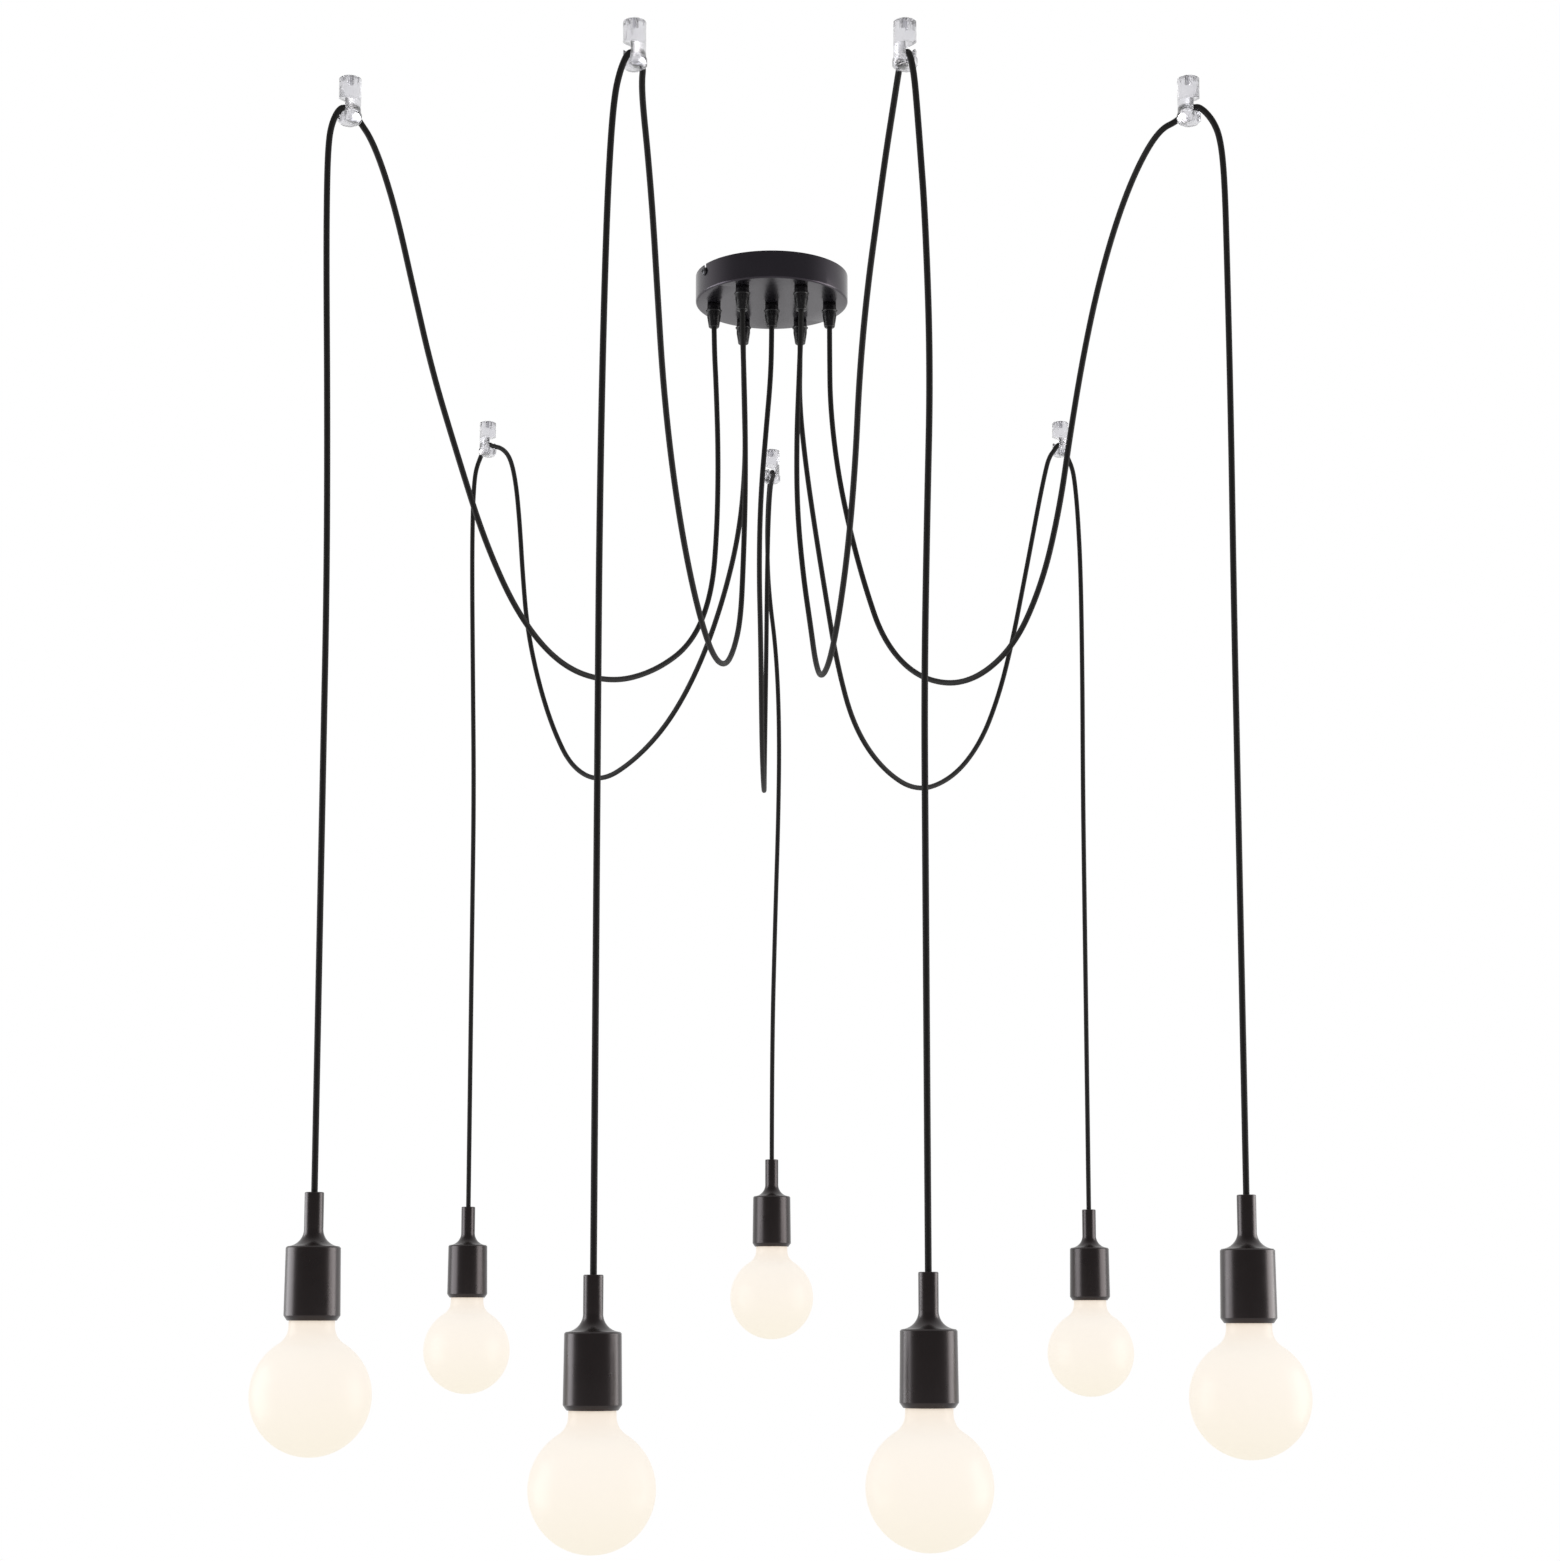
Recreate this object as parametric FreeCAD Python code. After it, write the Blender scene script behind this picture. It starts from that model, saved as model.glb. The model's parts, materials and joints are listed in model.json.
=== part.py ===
import FreeCAD, Part
import math
import os

# Seven-lamp cluster pendant. Seven cords leave one round canopy, sag to clear hooks in the
# ceiling, pass over them and drop straight down to silicone lamp holders with opal globe bulbs.
# Millimetres. The ceiling is the plane Z = 0, the canopy's axis is the Z axis, +X is the viewer's
# right and +Y points away from the viewer.

V = FreeCAD.Vector
UP = V(0, 0, 1)
ORIGIN = V(0, 0, 0)
FULL_TURN = 360

# ---- canopy: a drawn steel cup with its open side against the ceiling
CANOPY_R = 75.0
CANOPY_HEIGHT = 27.0
CANOPY_WALL = 1.2
CANOPY_EDGE_R = 2.0
NOTCH_WIDTH = 4.6
SCREW_DEPTH = 7.0  # side screws' height below the ceiling

# ---- ceiling bracket: a steel strap with both ends folded down, turned in plan
BRACKET_TURN = 29.5
BRACKET_WIDTH = 16.0
BRACKET_THICK = 2.0
BRACKET_REACH = 72.6  # from the canopy's axis to the outside of a folded end
BRACKET_DROP = 13.5
BRACKET_BEND_R = 3.0
FIXING_PCD = 100.0
FIXING_R = 2.6
M4_R = 2.0
M4_HOLE_R = 2.05
SIDE_SCREW_LENGTH = 9.0
PAN_HEAD_R = 4.0
PAN_HEAD_H = 2.6
EARTH_X = -41.0

# ---- terminal strip under the bracket
POLE_PITCH = 7.0
POLE_COUNT = 8
STRIP_WIDTH = 16.0
STRIP_HEIGHT = 11.0
STRIP_EAR = 6.0
STRIP_SCREW_R = 1.4
POLE_Z = -9.0
INSERT_R = 2.6
INSERT_BORE_R = 1.3
INSERT_LENGTH = 14.0
CLAMP_SCREW_R = 1.25
CLAMP_OFFSET = 4.4  # clamp screws each side of the strip's centre line
WELL_R = 1.9

# ---- cord grips: one in the middle and six on a circle
GLAND_CIRCLE_R = 57.0
GLAND_THREAD_R = 4.9
GLAND_HOLE_R = 5.05
GLAND_TOP_Z = -20.8
GLAND_BODY_R = 6.5
GLAND_FLANGE_R = 7.15
GLAND_FLANGE_Z = -35.4
GLAND_LUG_R = 1.1
GLAND_SPIGOT_R = 4.5
GLAND_SPIGOT_Z = -42.0
GLAND_CAP_TOP_R = 6.85
GLAND_CAP_TIP_R = 5.3
GLAND_TIP_Z = -51.3
GLAND_SLOTS = 6
NUT_FLATS = 14.0
NUT_HEIGHT = 4.0

# ---- cord and its two cores
CORD_R = 2.6
CORD_BORE_R = 2.75
CORD_START_Z = -24.0  # where the outer sheath stops inside the cord grip
CORE_R = 0.9
CORE_BORE_R = 2.1
CORE_SPREAD = 1.0
LIVE_Z = -12.5
NEUTRAL_Z = -17.5
CENTRE_CORE_Z = -16.5
BEND_SHARE = 0.45  # of the shorter run beside a bend, taken up by its arc

# ---- clear ceiling hook
HOOK_R = 9.2
HOOK_HEIGHT = 38.5
HOOK_FOOT_R = 10.0
HOOK_FOOT_TOP = -30.5
HOOK_EDGE = 2.2
HOOK_BORE_R = 2.1
HOOK_BORE_DEPTH = 8.0
HOOK_GROOVES = 8
HOOK_GROOVE_H = 5.5
HOOK_GROOVE_W = 1.3
HOOK_GROOVE_DEPTH = 0.9
SADDLE_R = 7.0
SADDLE_TOP = -28.8
NECK_Y = -3.2  # the wall that stays behind the cord
LIP_Y = 4.0
LIP_TOP = -24.8
ROOF_Z = -19.5  # the throat's roof at the neck; it slopes up to the open side
ROOF_EDGE_Z = -15.5

# ---- lamp holder: a silicone sleeve round a screw-in insert
SLEEVE_LENGTH = 100.0
STEM_R = 7.55
STEM_LENGTH = 27.7
SHOULDER_DROP = 43.5
SHOULDER_R = 21.4
SLEEVE_R = 22.05
SLEEVE_CHAMFER = 3.9
SLEEVE_MOUTH_R = 19.3
SLEEVE_BORE_R = 18.5
SLEEVE_BORE_LENGTH = 48.5
SOCKET_R = 18.4
SOCKET_TOP = 53.0  # below the top of the sleeve
SOCKET_HEIGHT = 38.0
SOCKET_BORE_R = 13.7
SOCKET_BORE_DEPTH = 31.0
CONTACT_R = 4.0
CONTACT_H = 1.6

# ---- globe bulb, 95 mm across, with a screw cap of 26 mm
GLOBE_R = 47.5
GLOBE_CENTRE = 58.0  # below the sleeve's rim
GLOBE_WALL = 1.0
NECK_R = 17.9
NECK_TOP = 5.5  # the neck goes this far up into the sleeve
NECK_LENGTH = 7.0  # straight glass below the rim
NECK_FILLET_R = 16.0
CAP_R = 13.1
CAP_INNER_R = 12.4
CAP_SKIRT_Z = 7.0  # the cap's lower edge, above the rim
CAP_LENGTH = 27.0
CAP_SHELL = 19.0
CAP_TIP_R = 4.8

# ---- what differs from lamp to lamp
# name: (cord grip's angle, hook's open side, holder's axis x, y, holder's top z)
# The angle is None for the grip in the middle. The open side is 1 on the left of the cord as it
# travels out over the hook, and -1 on its right.
LAMPS = {
    "outer_left": (180, -1, -359, -481, -922),
    "front_left": (240, -1, -133, -588, -988),
    "front_right": (300, 1, 116.5, -594, -986),
    "outer_right": (0, 1, 372.7, -480, -924),
    "back_left": (120, -1, -337, 479, -897),
    "back_right": (60, 1, 352.2, 479, -900),
    "back_centre": (None, 1, 0, 600, -838),
}

# Each loop runs from its cord grip down through its sag and up over its hook. The last four
# points go round the hook's saddle, and the run between the middle two lies on top of it.
LOOPS = {
    "outer_left": [
        (-57, 0, -24), (-57, 0, -64), (-54.5, 4.5, -114), (-52.5, 8, -182), (-53.5, 7, -252),
        (-58, -3, -320), (-76, -33, -377), (-110, -88, -417), (-148, -148, -441),
        (-188, -212, -441), (-222, -267, -409), (-249, -310, -352), (-270, -343, -285),
        (-289, -374, -221), (-303, -397, -158), (-315, -418, -102), (-325, -437, -67),
        (-334, -453, -45), (-343.2, -459.2, -32.6), (-347.1, -464.4, -26),
        (-352.5, -471.6, -26), (-357.3, -478, -30),
    ],
    "front_left": [
        (-28.5, -49.4, -24), (-28.5, -49.4, -64), (-27, -47.5, -112), (-25.5, -44, -170),
        (-25.5, -41, -236), (-27.3, -45, -302), (-29.5, -70, -363), (-35.5, -120, -405),
        (-42.5, -184, -434), (-52, -256, -441), (-63, -323, -418), (-74, -376, -373),
        (-83, -420, -318), (-89.5, -458, -256), (-92.8, -493, -195), (-96, -517, -137),
        (-99.8, -535, -90), (-103, -550.5, -59), (-103.6, -560.5, -42.5), (-102.1, -567.2, -32.6),
        (-106, -572.4, -26), (-111.4, -579.6, -26), (-115.3, -584.8, -32.6),
    ],
    "front_right": [
        (28.5, -49.4, -24), (28.5, -49.4, -66), (26.5, -48, -118), (24, -43.5, -180),
        (24.5, -41, -248), (30, -48, -313), (37, -78, -373), (40.5, -130, -418),
        (44.5, -196, -448), (51, -268, -449), (58, -333, -421), (64.5, -385, -376),
        (69.5, -426, -316), (72, -462, -252), (77.5, -493, -192), (85.5, -516, -135),
        (92, -533, -90), (97, -547, -60), (100, -558, -42), (101.7, -565.7, -32.6),
        (104, -571.8, -26), (107.2, -580.2, -26), (109.5, -586.3, -32.6),
    ],
    "outer_right": [
        (57, 0, -24), (57, 0, -76), (57.5, -1, -132), (64, -11, -198), (75, -29, -262),
        (89, -51, -325), (106, -80, -387), (136, -128, -433), (176, -191, -453),
        (213, -251, -434), (236, -291, -385), (250, -313, -323), (259, -327, -258),
        (269, -344, -196), (280.5, -363, -140), (294, -390, -92), (308, -422, -58),
        (323, -451, -37), (338.4, -458.8, -32), (342.9, -464.5, -26), (348.5, -471.6, -26),
        (354.2, -478.4, -28.8),
    ],
    "back_left": [
        (-28.5, 49.4, -24), (-28.5, 49.4, -66), (-27.5, 48, -112), (-26, 46, -174),
        (-32, 55, -243), (-49, 79, -308), (-73, 113, -367), (-104, 157, -414),
        (-141, 208, -444), (-181, 264, -458), (-215, 313, -433), (-238, 346, -384),
        (-257, 373, -325), (-271.5, 393, -260), (-278, 403, -196), (-282.5, 409, -136),
        (-288, 418, -87), (-296, 434, -53), (-307.5, 454, -35.5), (-319.6, 464.9, -30),
        (-323.2, 470.5, -26), (-328.8, 477.5, -26), (-333.4, 483.4, -33.2),
    ],
    "back_right": [
        (28.5, 49.4, -24), (28.5, 49.4, -66), (27.5, 48, -112), (34, 57, -174), (44, 71, -240),
        (55, 87, -305), (66, 102, -368), (83, 126, -426), (113, 168, -462), (152, 223, -476),
        (193, 281, -450), (226, 328, -403), (249, 360, -343), (266, 384, -278),
        (279.5, 404, -215), (292, 422, -155), (302.5, 437, -104), (310.5, 449.5, -68),
        (316.5, 459, -45), (324.8, 465.2, -32.6), (328.7, 470.4, -26), (334.1, 477.6, -26),
        (338.3, 483.2, -33),
    ],
    "back_centre": [
        (0, 0, -24), (0, 0, -60), (-1, -1, -102), (-5.5, -3, -156), (-11, -1, -224),
        (-12.5, 20, -290), (-11, 56, -350), (-10.5, 107, -400), (-10, 168, -438),
        (-9, 236, -461), (-8, 308, -463), (-8, 371, -431), (-7.5, 417, -380), (-6.8, 450, -320),
        (-6, 474, -254), (-5.5, 490, -190), (-4.5, 502, -130), (-3, 519, -84), (-1.2, 541, -54),
        (0.8, 561, -39), (2.2, 572.2, -32.6), (0.9, 578.6, -26), (-0.9, 587.4, -26),
        (-2.2, 593.8, -32.6),
    ],
}

# Each drop goes on from its loop just below the hook and hangs down to the lamp holder. The
# lamp's weight pulls its lower stretch straight.
DROPS = {
    "outer_left": [
        (-362.4, -482.6, -45), (-364.4, -484.4, -63), (-364.9, -484.4, -99),
        (-364.2, -483.2, -167), (-361.2, -481.6, -290), (-359, -481, -430), (-359, -481, -975),
    ],
    "front_left": [
        (-119.9, -588, -47.6), (-123.4, -589.2, -65.5), (-126.3, -589.6, -101),
        (-129.2, -589.4, -170), (-131.8, -588.6, -300), (-133, -588, -440), (-133, -588, -1041),
    ],
    "front_right": [
        (111.8, -590.2, -49), (113.3, -591.8, -67), (115.6, -593, -102), (120, -593.8, -172),
        (123, -594, -290), (119.5, -594.2, -410), (116.5, -594, -540), (116.5, -594, -1039),
    ],
    "outer_right": [
        (363.6, -482.2, -42), (369.2, -483.2, -58.5), (371.9, -482.6, -92), (372.8, -481, -160),
        (373.4, -480.2, -295), (372.7, -480, -440), (372.7, -480, -977),
    ],
    "back_left": [
        (-340.2, 487.3, -49.5), (-342.4, 488, -67), (-343.5, 486.8, -102), (-343, 484, -172),
        (-340.1, 480.6, -295), (-337, 479, -430), (-337, 479, -950),
    ],
    "back_right": [
        (346, 486.8, -49.2), (348.8, 487.6, -67), (351.4, 486.5, -102), (353.7, 484, -172),
        (353.6, 480.8, -295), (352.2, 479, -430), (352.2, 479, -953),
    ],
    "back_centre": [
        (-3.6, 597.8, -49), (-4.7, 599.6, -66.8), (-5.6, 600.8, -102), (-3.8, 601, -165),
        (5.5, 600.8, -240), (9, 600.5, -330), (8, 600.2, -430), (4, 600, -560), (0, 600, -720),
        (0, 600, -891),
    ],
}


# ---------------------------------------------------------------- helpers


def cylinder(radius, z_low, z_high, x=0.0, y=0.0):
    """An upright cylinder between two heights."""
    return Part.makeCylinder(radius, z_high - z_low, V(x, y, z_low), UP)


def block(x_low, x_high, y_low, y_high, z_low, z_high):
    """A box between its two corners."""
    size = (x_high - x_low, y_high - y_low, z_high - z_low)
    return Part.makeBox(*size, V(x_low, y_low, z_low))


def outline(start, steps, place):
    """A closed face. A step is a point, or a pair (point on an arc, the arc's end)."""
    edges, here = [], start
    for step in [*steps, start]:
        if isinstance(step[0], tuple):
            middle, end = step
            edges.append(Part.Arc(place(here), place(middle), place(end)).toShape())
        else:
            end = step
            if place(here).distanceToPoint(place(end)) > 1e-7:
                edges.append(Part.LineSegment(place(here), place(end)).toShape())
        here = end
    return Part.Face(Part.Wire(edges))


def turned(start, *steps):
    """A solid turned about Z from an outline of (radius, height) points."""
    face = outline(start, steps, lambda p: V(p[0], 0, p[1]))
    return face.revolve(ORIGIN, UP, FULL_TURN)


def pushed_along_x(start, steps, x_low, x_high):
    """A solid pushed along X from an outline of (y, z) points."""
    face = outline(start, steps, lambda p: V(x_low, p[0], p[1]))
    return face.extrude(V(x_high - x_low, 0, 0))


def moved(shape, x=0.0, y=0.0, z=0.0):
    """A copy of a shape, shifted."""
    copy = shape.copy()
    copy.translate(V(x, y, z))
    return copy


def rotated(shape, degrees):
    """A copy of a shape, turned about the Z axis."""
    copy = shape.copy()
    copy.rotate(ORIGIN, UP, degrees)
    return copy


def hexagon(flats, z_low, z_high):
    """A six-sided prism about the Z axis."""
    corner_r = flats / math.sqrt(3)
    angles = [math.radians(60 * i) for i in range(7)]
    corners = [V(corner_r * math.cos(a), corner_r * math.sin(a), z_low) for a in angles]
    return Part.Face(Part.makePolygon(corners)).extrude(V(0, 0, z_high - z_low))


def save(node, *solids):
    """One STEP file for a node, which holds its solids side by side."""
    shape = solids[0] if len(solids) == 1 else Part.makeCompound(list(solids))
    assert shape.isValid(), node
    shape.exportStep(f"parts/{node}.step")


# ---------------------------------------------------------------- cords


def cord_path(points):
    """Straight runs joined by tangent arcs: (wire, length, least radius)."""
    edges, length, least = [], 0.0, math.inf
    here = points[0]
    for before, corner, after in zip(points, points[1:], points[2:]):
        back, ahead = before - corner, after - corner
        shorter = min(back.Length, ahead.Length)
        back.normalize()
        ahead.normalize()
        turn = math.pi - back.getAngle(ahead)
        reach = BEND_SHARE * shorter
        radius = reach / math.tan(turn / 2)
        arc_start, arc_end = corner + back * reach, corner + ahead * reach
        inward = (back + ahead).normalize()
        arc_middle = corner + inward * (radius / math.cos(turn / 2) - radius)
        edges.append(Part.LineSegment(here, arc_start).toShape())
        edges.append(Part.Arc(arc_start, arc_middle, arc_end).toShape())
        length += here.distanceToPoint(arc_start) + radius * turn
        least = min(least, radius)
        here = arc_end
    edges.append(Part.LineSegment(here, points[-1]).toShape())
    return Part.Wire(edges), length + here.distanceToPoint(points[-1]), least


def tube(points, radius):
    """A round cord along a route: (solid, length, least radius)."""
    path, length, least = cord_path(points)
    ring = Part.Wire(Part.makeCircle(radius, points[0], points[1] - points[0]))
    solid = path.makePipeShell([ring], True, False)
    ratio = solid.Volume / (math.pi * radius**2 * length)
    assert solid.isValid() and abs(ratio - 1) < 0.01, ratio
    return solid, length, least


def meeting_point(name):
    """Where a loop ends and its drop starts, midway between their nearest points."""
    return (V(*LOOPS[name][-1]) + V(*DROPS[name][0])) * 0.5


def build_cords():
    """The loop and the drop of each lamp's cord."""
    for name in LAMPS:
        joint = meeting_point(name)
        routes = {
            f"cord_loop_{name}": [V(*p) for p in LOOPS[name]] + [joint],
            f"cord_drop_{name}": [joint] + [V(*p) for p in DROPS[name]],
        }
        for node, points in routes.items():
            solid, length, least = tube(points, CORD_R)
            save(node, solid)
            print(f"{node}: {length:.0f} mm long, least bend radius {least:.1f} mm")


# ---------------------------------------------------------------- canopy and bracket


def gland_places():
    """Each lamp's cord grip on the canopy, as (x, y)."""
    places = {}
    for name, (angle, *_) in LAMPS.items():
        if angle is None:
            places[name] = (0.0, 0.0)
        else:
            a = math.radians(angle)
            places[name] = (GLAND_CIRCLE_R * math.cos(a), GLAND_CIRCLE_R * math.sin(a))
    return places


def notch():
    """The tool that opens the canopy's wall to its rim for one side screw, along +X."""
    half = NOTCH_WIDTH / 2
    round_end = Part.makeCylinder(half, 12, V(CANOPY_R - 6, 0, -SCREW_DEPTH), V(1, 0, 0))
    return round_end.fuse(block(CANOPY_R - 6, CANOPY_R + 6, -half, half, -SCREW_DEPTH, 1))


def build_canopy():
    """A cup with a rounded lower edge, seven cord holes and two notches at its rim."""
    low, inner_r = -CANOPY_HEIGHT, CANOPY_R - CANOPY_WALL
    bend = CANOPY_EDGE_R * (1 - math.sqrt(0.5))
    floor_z = low + CANOPY_WALL
    inner_bend = (CANOPY_EDGE_R - CANOPY_WALL) * (1 - math.sqrt(0.5))
    inner_edge = CANOPY_EDGE_R - CANOPY_WALL
    cup = turned(
        (0, low),
        (CANOPY_R - CANOPY_EDGE_R, low),
        ((CANOPY_R - bend, low + bend), (CANOPY_R, low + CANOPY_EDGE_R)),
        (CANOPY_R, 0),
        (inner_r, 0),
        (inner_r, floor_z + inner_edge),
        ((inner_r - inner_bend, floor_z + inner_bend), (inner_r - inner_edge, floor_z)),
        (0, floor_z),
    )
    tools = [cylinder(GLAND_HOLE_R, low - 1, floor_z + 1, x, y) for x, y in gland_places().values()]
    tools += [rotated(notch(), BRACKET_TURN), rotated(notch(), BRACKET_TURN + 180)]
    save("canopy", cup.cut(tools))


def mirrored_steps(steps):
    """The same outline walked the other way, arcs included."""
    points = [(s if not isinstance(s[0], tuple) else s[1]) for s in steps]
    walked = [points[-1]]
    for step, before in zip(reversed(steps), reversed([None, *points[:-1]])):
        if before is None:
            break
        walked.append((step[0], before) if isinstance(step[0], tuple) else before)
    return walked


def build_bracket():
    """A strap with folded ends, two fixing holes, and tapped holes for its screws."""
    inner_x, low = BRACKET_REACH - BRACKET_THICK, -BRACKET_DROP
    outer_r, inner_r = BRACKET_BEND_R, BRACKET_BEND_R - BRACKET_THICK
    half = BRACKET_WIDTH / 2
    middle = 1 - math.sqrt(0.5)

    def right_end(sign):
        return [
            (sign * (BRACKET_REACH - outer_r), 0),
            ((sign * (BRACKET_REACH - outer_r * middle), -outer_r * middle),
             (sign * BRACKET_REACH, -outer_r)),
            (sign * BRACKET_REACH, low),
            (sign * inner_x, low),
            (sign * inner_x, -outer_r),
            ((sign * (inner_x - inner_r * middle), -BRACKET_THICK - inner_r * middle),
             (sign * (inner_x - inner_r), -BRACKET_THICK)),
        ]

    first, *right = right_end(1)
    steps = list(right) + mirrored_steps(right_end(-1))
    face = outline(first, steps, lambda p: V(p[0], -half, p[1]))
    strap = face.extrude(V(0, BRACKET_WIDTH, 0))
    tools = [cylinder(FIXING_R, -3, 1, s * FIXING_PCD / 2) for s in (1, -1)]
    tools += [cylinder(STRIP_SCREW_R + 0.05, -3, 1, x) for x in strip_screw_places()]
    tools.append(cylinder(M4_HOLE_R, -3, 1, EARTH_X))
    across = Part.makeCylinder(M4_HOLE_R, 200, V(-100, 0, -SCREW_DEPTH), V(1, 0, 0))
    save("ceiling_bracket", rotated(strap.cut([*tools, across]), BRACKET_TURN))


def pan_head(radius, height):
    """A screw's rounded head on the plane Z = 0, with a cross recess in its top."""
    head = turned(
        (0, 0),
        (radius, 0),
        (radius, height * 0.35),
        ((radius * 0.78, height * 0.8), (radius * 0.35, height)),
        (0, height),
    )
    arm, reach, floor = 0.5, radius * 0.5, height * 0.45
    cross = block(-reach, reach, -arm, arm, floor, height + 1)
    return head.cut([cross, rotated(cross, 90)])


def build_side_screws():
    """Two screws through the canopy's notches into the bracket's folded ends."""
    shank = cylinder(M4_R, -SIDE_SCREW_LENGTH, 0)
    screw = pan_head(PAN_HEAD_R, PAN_HEAD_H).fuse(shank)
    screw.rotate(ORIGIN, V(0, 1, 0), 90)
    screw.translate(V(CANOPY_R + 0.02, 0, -SCREW_DEPTH))
    save("side_screws", rotated(screw, BRACKET_TURN), rotated(screw, BRACKET_TURN + 180))


def build_earth_screw():
    """The earth screw, with its washer, up through the bracket from below."""
    low = -BRACKET_THICK
    washer_low = low - 0.8
    screw = pan_head(PAN_HEAD_R * 0.85, PAN_HEAD_H * 0.85)
    screw.rotate(ORIGIN, V(1, 0, 0), 180)
    screw = moved(screw, z=washer_low).fuse(cylinder(M4_R, washer_low, -0.2))
    washer = cylinder(PAN_HEAD_R + 0.6, washer_low, low).cut(cylinder(M4_HOLE_R, -6, 1))
    pieces = [rotated(moved(p, x=EARTH_X), BRACKET_TURN) for p in (screw, washer)]
    save("earth_screw", *pieces)


# ---------------------------------------------------------------- terminal strip and cores


def pole_places():
    """The poles' places along the bracket. The first half are live, the rest neutral."""
    first = -POLE_PITCH * (POLE_COUNT - 1) / 2
    return [first + POLE_PITCH * i for i in range(POLE_COUNT)]


def strip_half_length():
    return POLE_PITCH * POLE_COUNT / 2 + STRIP_EAR


def strip_screw_places():
    """The two fixing screws stand in the strip's ears."""
    place = strip_half_length() - STRIP_EAR / 2
    return [-place, place]


def build_terminal_strip():
    """The strip's housing, its brass inserts and all its screws."""
    top, low = -BRACKET_THICK, -BRACKET_THICK - STRIP_HEIGHT
    half, half_width = strip_half_length(), STRIP_WIDTH / 2
    housing = block(-half, half, -half_width, half_width, low, top)
    ear_z = top - 4.0
    for sign in (1, -1):
        inner, outer = sorted((sign * (half - STRIP_EAR), sign * (half + 1)))
        housing = housing.cut(block(inner, outer, -half_width - 1, half_width + 1, low - 1, ear_z))
    across = V(0, 1, 0)
    tools, inserts, screws = [], [], []
    for x in pole_places():
        start = V(x, -half_width - 1, POLE_Z)
        tools.append(Part.makeCylinder(INSERT_R + 0.05, STRIP_WIDTH + 2, start, across))
        end = V(x, -INSERT_LENGTH / 2, POLE_Z)
        brass = Part.makeCylinder(INSERT_R, INSERT_LENGTH, end, across)
        brass = brass.cut(Part.makeCylinder(INSERT_BORE_R, INSERT_LENGTH, end, across))
        for y in (CLAMP_OFFSET, -CLAMP_OFFSET):
            tools.append(cylinder(WELL_R, low - 1, POLE_Z, x, y))
            brass = brass.cut(cylinder(CLAMP_SCREW_R + 0.05, low, POLE_Z, x, y))
            screws.append(cylinder(CLAMP_SCREW_R, low + 0.6, POLE_Z - CORE_R - 0.05, x, y))
        inserts.append(brass)
    for x in strip_screw_places():
        tools.append(cylinder(STRIP_SCREW_R + 0.05, low, top + 1, x))
        head = cylinder(STRIP_SCREW_R * 1.8, ear_z - 1.6, ear_z, x)
        screws.append(head.fuse(cylinder(STRIP_SCREW_R, ear_z, -0.2, x)))
    save("terminal_strip", rotated(housing.cut(tools), BRACKET_TURN))
    save("terminal_inserts", *[rotated(s, BRACKET_TURN) for s in inserts])
    save("terminal_screws", *[rotated(s, BRACKET_TURN) for s in screws])


def core_route(place, pole_x, side, level, offset):
    """A core's route in the bracket's frame, from its cord grip to its pole."""
    x, y = place
    mouth, entry = side * (STRIP_WIDTH / 2 + 10), side * (STRIP_WIDTH / 2 + 4.5)
    inside = side * (STRIP_WIDTH / 2 - 2.5)
    start = V(x + offset, y, CORD_START_Z)
    if abs(y) < 1:
        mouth = side * (STRIP_WIDTH / 2 + 6)
        steps = [(pole_x, mouth, level), (pole_x, mouth, POLE_Z)]
    else:
        steps = [(pole_x, mouth, level), (pole_x, entry, POLE_Z)]
    return [start, V(x + offset, y, level), *[V(*p) for p in steps], V(pole_x, inside, POLE_Z)]


def build_core_wires():
    """Two cores from each cord, fanned out to the strip without touching each other."""
    turn = math.radians(-BRACKET_TURN)
    local = {
        name: (x * math.cos(turn) - y * math.sin(turn), x * math.sin(turn) + y * math.cos(turn))
        for name, (x, y) in gland_places().items()
    }
    poles = pole_places()
    live, neutral = poles[: POLE_COUNT // 2], poles[POLE_COUNT // 2 :]
    wires = []
    for side in (1, -1):
        outer = sorted((p for p in local.values() if p[1] * side > 1), key=lambda p: p[0])
        for rank, place in enumerate(outer):
            near = 1 if place[0] < -1 else -1
            wires.append(core_route(place, live[rank], side, LIVE_Z, -near * CORE_SPREAD))
            pole = neutral[rank + 1]
            wires.append(core_route(place, pole, side, NEUTRAL_Z, near * CORE_SPREAD))
    for pole, offset in ((live[-1], -CORE_SPREAD), (neutral[0], CORE_SPREAD)):
        wires.append(core_route((0.0, 0.0), pole, 1, CENTRE_CORE_Z, offset))
    solids = [tube(route, CORE_R)[0] for route in wires]
    save("core_wires", *[rotated(s, BRACKET_TURN) for s in solids])


# ---------------------------------------------------------------- cord grips


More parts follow.
